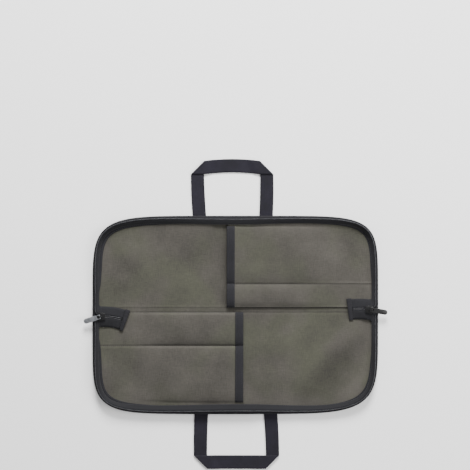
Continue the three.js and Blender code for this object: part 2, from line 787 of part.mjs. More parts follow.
// A handle: one strip of webbing, its ends sewn under the case and its corners folded over at 45 degrees
function handle({ half, leftLeg, leftLean, rightLeg, rightLean, reach, bow }) {
  const w = webbingWidth / 2;
  const inner = half * (halfHeight - strapOverlap);
  const border = half * halfHeight;
  const far = half * (halfHeight + reach + w);
  const near = half * (halfHeight + reach - w);
  const [x0, x1, x2, x3] = [leftLeg - w, leftLeg + w, rightLeg - w, rightLeg + w];
  const [t0, t1, t2, t3] = [x0 + leftLean, x1 + leftLean, x2 + rightLean, x3 + rightLean];
  const barEdge = (y) => {
    const points = [];
    for (let i = 0; i <= barSteps; i++) {
      const share = i / barSteps;
      points.push([lerp(t1, t2, share), y + half * bow * 4 * share * (1 - share)]);
    }
    return points;
  };
  const outline = [
    [x0, inner],
    [x1, inner],
    [x1, border],
    ...barEdge(near),
    [x2, border],
    [x2, inner],
    [x3, inner],
    [x3, border],
    [t3, near],
    ...barEdge(far).reverse(),
    [t0, near],
    [x0, border],
  ];
  const flat = slab(half > 0 ? outline : outline.reverse(), 0, webbingThickness);
  const corner = (outer, bend) => {
    const triangle = [[outer, near], [bend, near], [bend, far]];
    const turned = (bend > outer) === (half > 0);
    return slab(turned ? triangle : triangle.reverse(), webbingThickness / 2, 2 * webbingThickness);
  };
  return joined([flat, corner(t0, t1), corner(t3, t2)]);
}

// Materials: colours of the olive canvas, the black tapes and webbing, and the metal
const finish = (color, roughness, metalness = 0) =>
  new THREE.MeshStandardMaterial({ color, roughness, metalness });
const canvas = () => finish(0x67655b, 0.92);
const blackTape = () => finish(0x26252b, 0.85);
const blackCoil = () => finish(0x34343a, 0.45);
const blackMetal = () => finish(0x17171a, 0.4, 0.6);
const paleMetal = () => finish(0xa9aaac, 0.35, 0.9);

const roll = new THREE.Group();
roll.name = "chef_knife_roll";

function add(name, geometry, material, parent = roll) {
  const mesh = new THREE.Mesh(geometry, material);
  mesh.name = name;
  parent.add(mesh);
  return mesh;
}

const [columns, rows] = [mirrored(lengthKnots), mirrored(heightKnots)];
add("outer_panel", sheet(columns, rows, outerUnderside), canvas());
add("lining", sheet(columns, rows, liningUnderside), canvas());
add("edge_binding", edgeBinding(), blackTape());

for (const [name, pocket] of Object.entries(pockets)) {
  add("pocket_panel_" + name, pocketPanel(pocket), canvas());
  add("pocket_edge_" + name, pocketEdge(pocket), blackTape());
}

for (const [name, half] of [["upper", 1], ["lower", -1]]) {
  add("zip_tape_" + name, zipTape(half), blackTape());
  add("zip_coil_" + name, zipCoil(half), blackCoil());
  add("handle_" + name, handle(handles[name]), blackTape());
}

// How far a lying pull dips, until it rests on the slider's nose
const noseReach = slider.length / 2 - barPlace;
const pullDip = Math.atan2(barLift - pull.thickness / 2 - layerGap, noseReach);

for (const [name, end] of Object.entries(zipEnds)) {
  const { centre } = zipFrame(end);
  const carriage = new THREE.Group();
  carriage.position.set(centre.x, centre.y, sliderHeight);
  carriage.rotation.z = radians(end.facing);
  roll.add(carriage);
  add("zip_slider_" + name, sliderGeometry(), blackMetal(), carriage);

  const hinge = new THREE.Group();
  hinge.position.set(barPlace, 0, slider.mouth / 2 + slider.plate + barLift);
  hinge.rotation.z = radians(end.pullFacing - end.facing);
  carriage.add(hinge);
  const finishOfPull = name === "left" ? paleMetal() : blackMetal();
  add("zip_pull_" + name, pullGeometry(), finishOfPull, hinge).rotation.y = pullDip;

  add("zip_end_tab_" + name, endTab(end), blackTape());
}

// The origin goes to the middle of the bottom of the whole object's box
const box = new THREE.Box3().setFromObject(roll, true);
const middle = box.getCenter(new THREE.Vector3());
roll.position.set(-middle.x, -middle.y, -box.min.z);

const part = new THREE.Group();
part.add(roll);

export default part;
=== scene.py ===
# The looks of a chef's knife roll that lies open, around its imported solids. Lengths are in
# millimetres until a mesh is made, with the middle of the case at the origin.
import math

import bmesh
import bpy
import numpy as np
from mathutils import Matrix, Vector


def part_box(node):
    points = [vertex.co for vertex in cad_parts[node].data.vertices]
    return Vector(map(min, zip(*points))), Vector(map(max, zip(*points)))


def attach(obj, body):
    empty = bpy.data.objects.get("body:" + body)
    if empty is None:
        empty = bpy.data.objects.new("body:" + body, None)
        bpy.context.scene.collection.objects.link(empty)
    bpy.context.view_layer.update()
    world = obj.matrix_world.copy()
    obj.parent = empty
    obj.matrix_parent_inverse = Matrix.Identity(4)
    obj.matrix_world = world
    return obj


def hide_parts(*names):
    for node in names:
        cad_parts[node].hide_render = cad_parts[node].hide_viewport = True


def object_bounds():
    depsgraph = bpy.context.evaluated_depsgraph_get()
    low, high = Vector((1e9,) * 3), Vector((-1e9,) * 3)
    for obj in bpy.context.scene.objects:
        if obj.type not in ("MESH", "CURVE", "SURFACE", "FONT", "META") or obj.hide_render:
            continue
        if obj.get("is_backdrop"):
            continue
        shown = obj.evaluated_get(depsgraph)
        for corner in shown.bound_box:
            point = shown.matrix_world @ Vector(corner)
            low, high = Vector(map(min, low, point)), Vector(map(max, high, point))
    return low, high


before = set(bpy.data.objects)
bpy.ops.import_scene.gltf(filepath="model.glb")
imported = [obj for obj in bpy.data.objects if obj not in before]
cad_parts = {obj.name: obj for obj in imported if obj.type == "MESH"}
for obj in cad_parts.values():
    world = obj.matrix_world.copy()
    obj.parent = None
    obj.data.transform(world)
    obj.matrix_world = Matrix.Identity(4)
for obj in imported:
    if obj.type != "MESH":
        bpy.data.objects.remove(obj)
CAD_BOUNDS = [list(corner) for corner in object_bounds()]
MM = 0.001
ROOT = "root"

# Sizes of the case, as in its solids, except that the pockets rise less
HALF_LENGTH = 477 / 2
HALF_HEIGHT = 331 / 2
CANVAS = 1.0
TAPE = 1.0
GAP = 0.3
LAYER = CANVAS + GAP
TAPE_LAYER = TAPE + GAP
CORNER_EXPONENT = {(1, 1): 6.9, (-1, 1): 6.1, (-1, -1): 6.6, (1, -1): 5.6}
GRID_DIAGONAL = 0.9
GRID_LENGTH, GRID_HEIGHT = HALF_LENGTH * GRID_DIAGONAL, HALF_HEIGHT * GRID_DIAGONAL
BEND_FROM, BEND_TO = 0.5, 0.83
SHEET_INSET = TAPE + GAP
POCKET_INSET = SHEET_INSET + 0.7
BINDING_INNER, BINDING_OUTER = 9.0, 12.0
SHELF, SHELF_FALL = 20.0, 26.0
BORDER_EASE, EASE_MARGIN = 34.0, 6.0
STRAP_LIFT = 1.9
STRAP_REACH, STRAP_INNER, STRAP_FALL = 74.25, 117.5, 30.0
POCKET_RISE = 5.4
MOUTH_TAPE, MOUTH_FALL = 12.0, 26.0
CLOSED_FULL, CLOSED_FLAT = 0.5, 0.8
SEWN_UPPER, SEWN_LOWER = 14.5, 17.0
POCKETS = {
    "right": {"side": 1, "half": 1, "mouth": -13.0, "seam": 12.2, "divider": 52.0, "sewn": SEWN_UPPER},
    "left": {"side": -1, "half": -1, "mouth": 12.0, "seam": 4.7, "divider": -51.0, "sewn": SEWN_LOWER},
}
POCKET_PROFILE = ((0, 0), (0.05, 0.5), (0.16, 0.84), (0.36, 1), (0.64, 1), (0.84, 0.84), (0.95, 0.5), (1, 0))

# Soft folds: place, direction in degrees, length and width as shares of the half height, rise
FOLD_SWELL = 1.5
SOFT_FOLDS = (
    (0.685, -0.43, 46, 0.55, 0.19, 4.6),
    (0.78, -0.3, 55, 0.3, 0.1, 1.6),
    (0.4, -0.32, 10, 0.4, 0.14, 1.2),
    (-0.55, 0.3, 5, 0.5, 0.16, 1.2),
    (-0.78, 0.62, 140, 0.25, 0.1, 1.4),
)

# Painted shade (negative strength) and painted light (positive) along the folds of the inside: place,
# direction in degrees, length and width as above, strength
PAINTED_FOLD_SHADES = (
    (0.725, -0.43, 48, 0.34, 0.125, -0.4),
    (0.9, -0.56, 62, 0.27, 0.08, 0.42),
    (0.59, -0.38, 46, 0.28, 0.07, 0.18),
)

binding_low, binding_high = (np.array(corner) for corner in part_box("edge_binding"))
SHIFT = (binding_low + binding_high)[:2] / 2 / MM


def ramp(low, high, value):
    return np.clip((np.asarray(value, float) - low) / (high - low), 0, 1)


def smooth(value):
    return value * value * (3 - 2 * value)


def lerp(a, b, share):
    return a + (b - a) * share


def exponent_at(x, y):
    right, upper = np.asarray(x) >= 0, np.asarray(y) >= 0
    low = np.where(right, CORNER_EXPONENT[(1, -1)], CORNER_EXPONENT[(-1, -1)])
    high = np.where(right, CORNER_EXPONENT[(1, 1)], CORNER_EXPONENT[(-1, 1)])
    return np.where(upper, high, low)


def inward_normal(x, y, exponent):
    nx = -np.sign(x) * np.minimum(1, np.abs(x) / HALF_LENGTH) ** (exponent - 1) / HALF_LENGTH
    ny = -np.sign(y) * np.minimum(1, np.abs(y) / HALF_HEIGHT) ** (exponent - 1) / HALF_HEIGHT
    size = np.maximum(np.hypot(nx, ny), 1e-12)
    return nx / size, ny / size


def inset_point(u, v, inset):
    """A point inside the outline, from a point on the border of the square -1 to 1."""
    u, v = np.asarray(u, float), np.asarray(v, float)
    exponent = exponent_at(u, v)
    diagonal = 0.5 ** (1 / exponent)
    top = np.abs(v) >= np.abs(u)
    share = diagonal * np.where(top, u / np.where(v == 0, 1, np.abs(v)), v / np.where(u == 0, 1, np.abs(u)))
    rest = np.maximum(0, 1 - np.abs(share) ** exponent) ** (1 / exponent)
    x = HALF_LENGTH * np.where(top, share, np.sign(u) * rest)
    y = HALF_HEIGHT * np.where(top, np.sign(v) * rest, share)
    nx, ny = inward_normal(x, y, exponent)
    return x + nx * inset, y + ny * inset


def depth_inside(x, y):
    """Distance from the outline to a point inside it."""
    x, y = np.asarray(x, float), np.asarray(y, float)
    exponent = exponent_at(x, y)
    share = (np.abs(x / HALF_LENGTH) ** exponent + np.abs(y / HALF_HEIGHT) ** exponent) ** (1 / exponent)
    share = np.maximum(share, 1e-6)
    nx, ny = inward_normal(x / share, y / share, exponent)
    return (1 - share) * -(x / share * nx + y / share * ny)


def sheet_point(u, v, inset=SHEET_INSET):
    """A sheet's grid point: straight rows and columns that bend round towards the border."""
    u, v = np.asarray(u, float), np.asarray(v, float)
    ring = np.maximum(np.maximum(np.abs(u), np.abs(v)), 1e-9)
    bx, by = inset_point(u / ring, v / ring, inset)
    share = smooth(ramp(BEND_FROM, BEND_TO, ring))
    px, py = GRID_LENGTH * u, GRID_HEIGHT * v
    return lerp(px, bx * ring, share), lerp(py, by * ring, share)


def strap_lift(x, y):
    sideways = 1 - ramp(STRAP_REACH, STRAP_REACH + STRAP_FALL, np.abs(x))
    return STRAP_LIFT * sideways * ramp(STRAP_INNER - STRAP_FALL, STRAP_INNER, np.abs(y))


def outer_underside(x, y):
    shelf = 1 - ramp(SHELF, SHELF + SHELF_FALL, depth_inside(x, y))
    return strap_lift(x, y) + TAPE_LAYER * shelf


def soft_fold(x, y):
    rise = 0
    for fx, fy, turn, length, width, height in SOFT_FOLDS:
        c, s = math.cos(math.radians(turn)), math.sin(math.radians(turn))
        dx, dy = x - fx * HALF_LENGTH, y - fy * HALF_HEIGHT
        along = (dx * c + dy * s) / (length * HALF_HEIGHT)
        aside = (dy * c - dx * s) / (width * HALF_HEIGHT)
        rise = rise + height * np.exp(-along * along - aside * aside)
    return FOLD_SWELL * rise * ramp(SHELF, SHELF + SHELF_FALL, depth_inside(x, y))


def lining_underside(x, y):
    return outer_underside(x, y) + LAYER + soft_fold(x, y)


def lining_top(x, y):
    return lining_underside(x, y) + CANVAS


def stack_top(x, y):
    """The height of the top layer of cloth at the border, smoothed where a pocket starts."""
    top = lining_top(x, y)
    for pocket in POCKETS.values():
        from_mouth = (np.asarray(x) - pocket["mouth"]) * pocket["side"]
        from_seam = (np.asarray(y) - pocket["seam"]) * pocket["half"]
        near = 1
        for place in (from_mouth, from_seam):
            near = near * smooth(ramp(-BORDER_EASE, -EASE_MARGIN, place))
        far = MOUTH_TAPE + MOUTH_FALL
        mouth = 1 - smooth(ramp(far, far + BORDER_EASE, from_mouth))
        top = top + near * (LAYER + TAPE_LAYER * mouth)
    return top


# Meshes

# How strongly a sheet's knots crowd towards the border
CROWD_BORDER, CROWD_POCKET = 1.35, 1.3


def put_in_scene(name, data):
    thing = bpy.data.objects.new(name, data)
    bpy.context.scene.collection.objects.link(thing)
    return thing


def add_mesh(name, vertices, faces, material, replaces=(), slot=None, body=ROOT):
    """A mesh from millimetre points round the middle of the case, riding on a body."""
    points = np.asarray(vertices, float).reshape(-1, 3) * MM
    points[:, :2] += SHIFT * MM
    mesh = bpy.data.meshes.new(name)
    mesh.from_pydata(points.tolist(), [], faces)
    mesh.validate()
    mesh.update()
    mesh.shade_smooth()
    mesh.materials.append(material)
    piece = put_in_scene(name, mesh)
    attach(piece, body)
    if replaces:
        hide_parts(*replaces)


def grid_faces(rows, columns, start=0, flip=False, ring=False):
    """Quads over a grid of points, row by row; a ring closes its columns."""
    index = start + np.arange(rows * columns).reshape(rows, columns)
    right = np.roll(index, -1, axis=1) if ring else index[:, 1:]
    here = index if ring else index[:, :-1]
    quads = np.stack([here[:-1], right[:-1], right[1:], here[1:]], axis=-1).reshape(-1, 4)
    return (quads[:, ::-1] if flip else quads).tolist()


def loft(sections, closed=False):
    """Vertices and faces of a solid lofted through sections of equal size."""
    points = np.asarray(sections, float)
    count, size = points.shape[:2]
    rows = np.concatenate([points, points[:1]]) if closed else points
    faces = grid_faces(len(rows), size, ring=True)
    if closed:
        faces = [[k % (count * size) for k in face] for face in faces]
    else:
        faces.append(list(range(size))[::-1])
        faces.append([(count - 1) * size + k for k in range(size)])
    return points.reshape(-1, 3), faces


def xyz(x, y, z):
    return np.stack([x, y, np.broadcast_to(z, np.shape(x))], axis=-1)


def stepped(knots, steps, rest):
    """Even steps from each knot up to the next, and the rest."""
    return np.concatenate([np.linspace(a, b, steps)[:-1] for a, b in zip(knots, knots[1:])] + [rest])


def joined(parts):
    """One mesh out of several, each given as its vertices and faces."""
    start, vertices, faces = 0, [], []
    for points, sides in parts:
        vertices.append(points)
        faces += [[k + start for k in face] for face in sides]
        start += len(points)
    return np.concatenate(vertices), faces


def cloth(columns, rows, underside, inset=SHEET_INSET):
    """A closed sheet of canvas over a grid of knots."""
    u, v = np.meshgrid(columns, rows)
    x, y = sheet_point(u, v, inset)
    low = underside(x, y, u, v)
    below, above = xyz(x, y, low), xyz(x, y, low + CANVAS)
    wide, tall = len(columns), len(rows)
    size = wide * tall
    faces = grid_faces(tall, wide, flip=True) + grid_faces(tall, wide, start=size)
    rim = list(range(wide - 1)) + [j * wide + wide - 1 for j in range(tall - 1)]
    rim += [size - 1 - i for i in range(wide - 1)] + [(tall - 1 - j) * wide for j in range(tall - 1)]
    for a, b in zip(rim, rim[1:] + rim[:1]):
        faces.append([a, b, size + b, size + a])
    return np.concatenate([below.reshape(-1, 3), above.reshape(-1, 3)]), faces


def eased(count):
    """Knots from -1 to 1 that crowd towards both ends."""
    t = np.linspace(-1, 1, count)
    return np.sign(t) * (1 - (1 - np.abs(t)) ** CROWD_BORDER)


# The zip's path, station by station, as in its solids
ZIP_TAPE_WIDTH = 17.0
COIL_WIDTH = 2.4
ZIP_LEAVE, ZIP_BOW, KNOT_CLEAR, SLIDER_INSET = 22.0, 1.0, 0.05, 15.5
LENGTH_KNOTS = (0, 0.13, 0.25, 0.37, 0.5, 0.6, 0.7, 0.8, 0.88, 0.94, 0.98, 1)
HEIGHT_KNOTS = (0, 0.17, 0.33, 0.5, 0.62, 0.73, 0.83, 0.91, 0.96, 1)
# Share of the way round, sewn inset above and below the fold, coil's inset, coil's height
ZIP_STAND = (
    (0, 11, 11, 5.5, 2.6),
    (0.07, 11, 11, 5, 6.5),
    (0.17, 9.5, 10, 4, 8),
    (0.28, 11.5, 13, 4.5, 5.5),
    (0.5, SEWN_UPPER, SEWN_LOWER, 6, 3.5),
    (0.72, 12, 14, 4.5, 5.5),
    (0.83, 9.5, 10, 4, 8),
    (0.93, 11, 11, 5, 6.5),
    (1, 11, 11, 5.5, 2.6),
)
ZIP_ENDS = {
    "right": {"side": 1, "y": 9.2, "facing": -4, "tail": 34, "bend": 11},
    "left": {"side": -1, "y": -2.7, "facing": 178, "tail": 41, "bend": -18},
}
TAIL_DROP, TAB_LENGTH, TAB_OVERHANG, TAB_MARGIN = 2.1, 7.0, 1.3, 1.2
SLIDER_LENGTH, SLIDER_WIDE, SLIDER_PLATE, SLIDER_MOUTH = 13.0, 14.0, 1.1, 3.3
BORDER_TOP = 2 * TAPE_LAYER + 3 * LAYER
SLIDER_HEIGHT = BORDER_TOP + SLIDER_MOUTH / 2 + SLIDER_PLATE
COIL_APART = COIL_WIDTH / 2 + GAP / 2
TAPE_MIDDLE = SLIDER_WIDE / 2 + 1
TAIL_SAG, SLIDER_SAG = 0.5, 0.2
# Inside a slider: place along it as shares of its length, spread of the coil, place of the tape's edge
SLIDER_SPREAD = ((0.5, 0, 6.5), (0.1, 0, 3.6), (-0.2, 1, 0.8), (-0.5, 2.7, -1))
# Where the tape turns from a slider to the border: the bow of its coil, its middle and its edge,
# outwards and along the border, and the stations on the turn and on the tail
TURN_BOW = ((7, 17), (4, 8), (3, 4))
TURN_SHARES = (0.2, 0.4, 0.6, 0.8)
TAIL_SHARES = (0.66, 0.33)


def stand_value(column, share):
    for before, after in zip(ZIP_STAND, ZIP_STAND[1:]):
        if share <= after[0]:
            return lerp(before[column], after[column], smooth(float(ramp(before[0], after[0], share))))
    return ZIP_STAND[-1][column]


def zip_frame(end):
    turn = math.radians(end["facing"])
    out = np.array([math.cos(turn), math.sin(turn)])
    up = np.array([-out[1], out[0]]) * end["side"]
    return out, up, np.array([end["side"] * (HALF_LENGTH - SLIDER_INSET), end["y"]])


def tail_point(end, along, sideways):
    out, up, centre = zip_frame(end)
    straight = SLIDER_LENGTH / 2
    if along <= straight:
        return centre - out * along + up * sideways
    rate = math.radians(end["bend"]) / (end["tail"] - straight)
    turned = rate * (along - straight)
    left = np.array([out[1], -out[0]])
    axis = centre - out * (straight + math.sin(turned) / rate) + left * (1 - math.cos(turned)) / rate
    c, s = math.cos(turned), math.sin(turned)
    return axis + np.array([up[0] * c - up[1] * s, up[0] * s + up[1] * c]) * sideways


def tab_start(end):
    return end["tail"] - TAB_LENGTH + TAB_OVERHANG


def tail_station(end, half, along):
    height = SLIDER_HEIGHT - TAIL_DROP * smooth(float(ramp(SLIDER_LENGTH / 2, tab_start(end), along)))
    edge_height = BORDER_TOP - LAYER + TAPE / 2 + GAP
    spots = ((COIL_APART, height), (TAPE_MIDDLE, height - TAIL_SAG), (ZIP_TAPE_WIDTH, edge_height))
    return np.array([[*tail_point(end, along, half * sideways), z] for sideways, z in spots])


def slider_station(end, half, along, apart, edge):
    along = along * SLIDER_LENGTH
    coil = tail_point(end, along, half * (COIL_APART + apart))
    middle = tail_point(end, (along + edge) / 2, half * TAPE_MIDDLE)
    outer = tail_point(end, edge, half * ZIP_TAPE_WIDTH)
    heights = (SLIDER_HEIGHT, SLIDER_HEIGHT - SLIDER_SAG, BORDER_TOP + TAPE / 2)
    return np.array([[*place, z] for place, z in zip((coil, middle, outer), heights)])


def sewn_station(u, v, share):
    sewn = np.array(inset_point(u, v, stand_value(1 if v >= 0 else 2, share)))
    coil = np.array(inset_point(u, v, stand_value(3, share)))
    base = float(stack_top(*sewn)) + TAPE_LAYER + GAP + TAPE / 2
    edge = np.array([*sewn, base])
    top = np.array([*coil, base + stand_value(4, share)])
    inward = sewn - coil
    bow = inward / np.linalg.norm(inward) * ZIP_BOW
    return np.array([top, (top + edge) / 2 + [*bow, 0], edge])


def travelled(points):
    """How far along a line of points each of them lies."""
    return np.concatenate([[0], np.cumsum(np.linalg.norm(np.diff(points, axis=0), axis=1))])


def sewn_stations(half):
    leave = {name: (end["y"] + half * ZIP_LEAVE) / GRID_HEIGHT for name, end in ZIP_ENDS.items()}
    rows = {name: [k for k in HEIGHT_KNOTS if k > abs(leave[name]) + KNOT_CLEAR] for name in leave}
    columns = [-k for k in LENGTH_KNOTS[:0:-1]] + list(LENGTH_KNOTS)
    path = [(1, leave["right"])] + [(1, half * k) for k in rows["right"]]
    path += [(k, half) for k in columns[::-1][1:]]
    path += [(-1, half * k) for k in rows["left"][::-1][1:]] + [(-1, leave["left"])]
    fine = []
    for a, b in zip(path, path[1:]):
        fine += [tuple(lerp(np.array(a, float), np.array(b, float), s)) for s in (0, 0.5)]
    fine.append(path[-1])
    gone = travelled(np.array([inset_point(u, v, 0) for u, v in fine]))
    return [sewn_station(u, v, share) for (u, v), share in zip(fine, gone / gone[-1])]


def turn_stations(end, half, inner, outer):
    out = zip_frame(end)[0]
    away, border = np.array([*out, 0]), np.array([0, -half, 0])
    stations = []
    for share in TURN_SHARES:
        row = []
        for k, (reach, drop) in enumerate(TURN_BOW):
            knee = (inner[k] + away * reach + outer[k] + border * drop) / 2
            row.append((1 - share) ** 2 * inner[k] + 2 * share * (1 - share) * knee + share**2 * outer[k])
        stations.append(np.array(row))
    return stations


def zip_stations(half):
    def end_part(end):
        start = tab_start(end)
        stops = [end["tail"], start] + [lerp(SLIDER_LENGTH / 2, start, share) for share in TAIL_SHARES]
        tail = [tail_station(end, half, along) for along in stops]
        return tail + [slider_station(end, half, *row) for row in SLIDER_SPREAD]

    right, left = end_part(ZIP_ENDS["right"]), end_part(ZIP_ENDS["left"])[::-1]
    sewn = sewn_stations(half)
    right_turn = turn_stations(ZIP_ENDS["right"], half, right[-1], sewn[0])
    left_turn = turn_stations(ZIP_ENDS["left"], half, left[0], sewn[-1])[::-1]
    return np.array(right + right_turn + sewn + left_turn + left)


def through(points, per_span):
    """Smooth curves through rows of points, with the same number of steps in every span."""
    p = np.asarray(points, float)
    padded = np.concatenate([p[:1] * 2 - p[1:2], p, p[-1:] * 2 - p[-2:-1]])
    share = np.linspace(0, 1, per_span, endpoint=False).reshape(-1, 1, 1)
    spans = []
    for a, b, c, d in zip(padded, padded[1:], padded[2:], padded[3:]):
        m0, m1 = (c - a) / 2, (d - b) / 2
        h = (2 * share**3 - 3 * share**2 + 1) * b + (share**3 - 2 * share**2 + share) * m0
        spans.append(h + (3 * share**2 - 2 * share**3) * c + (share**3 - share**2) * m1)
    return np.concatenate(spans + [p[-1:]])


def unit(vectors):
    return vectors / np.maximum(np.linalg.norm(vectors, axis=-1, keepdims=True), 1e-12)


def evenly(points, step, *others):
    """Points an equal step apart along a line, and the same places along other lines."""
    gone = travelled(points)
    count = max(2, int(round(gone[-1] / step)) + 1)
    stops = np.linspace(0, gone[-1], count)
    place = lambda line: np.stack([np.interp(stops, gone, line[:, k]) for k in range(line.shape[1])], axis=-1)
    return [place(line) for line in (points, *others)]


# Cloth pieces

# A pocket's swell from seam to seam: its roundness, its power and how far it may pass the profile
SWELL_ROUND, SWELL_POWER, SWELL_PAST, SWELL_MARGIN = 2.6, 0.62, 1.02, 0.04
# The puckers' reach from the seams and height, and the height of the faint waves
PUCKER_REACH, PUCKER_HEIGHT, WAVE_HEIGHT = 0.07, 0.22, 0.45
# The binding's width: more away from the zip's ends, more at the left, its waves, and less by a
# share beside the pockets' mouths, round a place and over a length
WIDER, WIDER_LEFT, WIDTH_WAVE = 3.6, 2.8, 0.5
NARROWER, NARROW_PLACE, NARROW_LENGTH = 0.6, 6.0, 26.0


def mouth_column(pocket):
    return pocket["mouth"] / GRID_LENGTH


def rolled_columns(pocket, count):
    mouth = mouth_column(pocket)
    knots = np.linspace(0, 1, count)
    return mouth + (pocket["side"] - mouth) * (1 - (1 - knots) ** CROWD_POCKET)


def pocket_seams(pocket):
    rows = [y / GRID_HEIGHT for y in (pocket["seam"], pocket["divider"])]
    return rows + [pocket["half"] * (1 - (pocket["sewn"] + 1) / HALF_HEIGHT)]


def pocket_share(pocket, v):
    """Place of a row between the seams of the pocket it is in, and the rise that belongs to it."""
    seams = pocket_seams(pocket)
    first = (np.asarray(v) - seams[0]) / (seams[1] - seams[0])
    second = (np.asarray(v) - seams[1]) / (seams[2] - seams[1])
    share = np.clip(np.where(first < 1, first, second), 0, 1)
    stops, rises = zip(*POCKET_PROFILE)
    corners = np.interp(share, stops, rises)
    swell = np.power(np.maximum(0, 1 - np.abs(2 * share - 1) ** SWELL_ROUND), SWELL_POWER)
    return share, np.minimum(swell, SWELL_PAST * corners + SWELL_MARGIN) * (corners > 0)


def pocket_underside(pocket, x, y, u, v):
    from_mouth = (x - pocket["mouth"]) * pocket["side"]
    lift = TAPE_LAYER * (1 - ramp(MOUTH_TAPE + 1, MOUTH_TAPE + MOUTH_FALL, from_mouth))
    share, rise = pocket_share(pocket, v)
    open_share = 1 - smooth(ramp(CLOSED_FULL, CLOSED_FLAT, u * pocket["side"]))
    level = lining_top(x, y) + GAP + lift + POCKET_RISE * rise * open_share
    return level + pocket_wrinkles(x, y, share, rise)


def pocket_wrinkles(x, y, share, rise):
    """Small puckers beside the seams and faint lengthwise waves between them."""
    beside = np.exp(-((np.minimum(share, 1 - share) / PUCKER_REACH) ** 2)) * (rise > 0)
    pucker = PUCKER_HEIGHT * beside * np.sin(x / 6.1 + 1.7 * np.sin(x / 23.0 + y / 9.0))
    wave = WAVE_HEIGHT * rise * np.sin(x / 14.0 + y / 31.0) * np.sin(x / 53.0 - y / 37.0 + 0.8)
    return np.maximum(0, pucker) + wave + WAVE_HEIGHT * rise


def make_cloth_pieces(canvas, inner_canvas, pocket_canvas):
    wide, tall = ((168, 118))
    columns, rows = eased(wide), eased(tall)
    outer = cloth(columns[::2], rows[::2], lambda x, y, u, v: outer_underside(x, y))
    add_mesh("outer_cloth", *outer, canvas, ["outer_panel"], "canvas")
    lining = cloth(columns, rows, lambda x, y, u, v: lining_underside(x, y))
    add_mesh("lining_cloth", *lining, inner_canvas, ["lining"], "canvas")
    for name, pocket in POCKETS.items():
        seams = pocket_seams(pocket)
        rows_here = stepped(seams, tall // 2, np.linspace(seams[2], pocket["half"], 8))
        underside = lambda x, y, u, v, pocket=pocket: pocket_underside(pocket, x, y, u, v)
        made = cloth(rolled_columns(pocket, wide // 2 + 10), rows_here, underside, inset=POCKET_INSET)
        add_mesh("pocket_cloth_" + name, *made, pocket_canvas[name], ["pocket_panel_" + name], "canvas")


def border_round(count):
    """Stations round the border as points of the square, evenly spaced along the outline."""
    def square(place):
        side = (place // 2).astype(int) % 4
        along, one = place % 2 - 1, np.ones_like(place)
        return np.choose(side, [one, -along, -one, along]), np.choose(side, [along, one, -along, -one])

    t = np.linspace(0, 8, 4001)
    x, y = inset_point(*square(t), 0)
    gone = np.concatenate([[0], np.cumsum(np.hypot(np.diff(x), np.diff(y)))])
    stops = np.linspace(0, gone[-1], count, endpoint=False)
    return *square(np.interp(stops, gone, t)), stops


def binding_width(u, v):
    """How far the binding reaches in over the inside."""
    from_fold = np.abs(v)
    beside_mouth = np.exp(-(((u * HALF_LENGTH - NARROW_PLACE) / NARROW_LENGTH) ** 2))
    wider = WIDER * smooth(ramp(0.1, 0.6, from_fold)) * (1 - NARROWER * beside_mouth)
    left = WIDER_LEFT * smooth(ramp(0.15, 0.4, from_fold)) * smooth(ramp(0.3, 0.9, -u))
    return BINDING_INNER + left + wider + WIDTH_WAVE * np.sin(5 * u + 3 * v)


def binding_edges(u, v):
    """The binding's width, and the height of its underside, its top and its inner edge."""
    x, y = inset_point(u, v, BINDING_INNER / 2)
    low, high = strap_lift(x, y), stack_top(x, y) + TAPE_LAYER
    inner = binding_width(u, v)
    return inner, low, high, np.maximum(high, stack_top(*inset_point(u, v, inner)) + TAPE_LAYER)


def make_edge_binding(tape):
    u, v, gone = border_round(760)
    inner, low, high, inner_high = binding_edges(u, v)
    ripple = 0.12 * np.sin(gone / 3.3 + np.sin(gone / 19.0)) + 0.1 * np.sin(gone / 11.0)
    outline = []
    for inset, z in (
        (BINDING_OUTER, low + 0.3), (BINDING_OUTER - 0.4, low), (BINDING_OUTER - 1.3, low),
        (BINDING_OUTER - 1.8, low + 0.3), (BINDING_OUTER - 2.3, low), (BINDING_OUTER / 2, low),
        (1.6, low), (0.6, low + 0.5), (0.0, low + 1.5), (0.0, (low + high) / 2),
        (0.0, high - 1.5), (0.5, high - 0.5), (1.5, high), (inner / 2, high + ripple * 0.6),
        (inner - 0.9, inner_high), (inner - 0.2, inner_high - 0.2),
        (inner, inner_high - TAPE / 2), (inner - 0.1, inner_high - TAPE),
        (TAPE + 0.3, high - TAPE), (TAPE, high - TAPE - 0.4),
        (TAPE, low + TAPE + 0.4), (TAPE + 0.3, low + TAPE), (BINDING_OUTER, low + TAPE),
    ):
        outline.append(xyz(*inset_point(u, v, inset), z))
    sections = np.stack(outline, axis=1)
    add_mesh("edge_tape", *loft(sections, closed=True), tape, ["edge_binding"], "tape")


def mouth_line(pocket, steps):
    """Points along a pocket's mouth, from seam to seam, and the height of the panel's underside."""
    mouth, seams = mouth_column(pocket), pocket_seams(pocket)
    rows = stepped(seams, steps, seams[2:])
    x, y = sheet_point(mouth, rows, POCKET_INSET)
    return x, y, pocket_underside(pocket, x, y, mouth, rows)


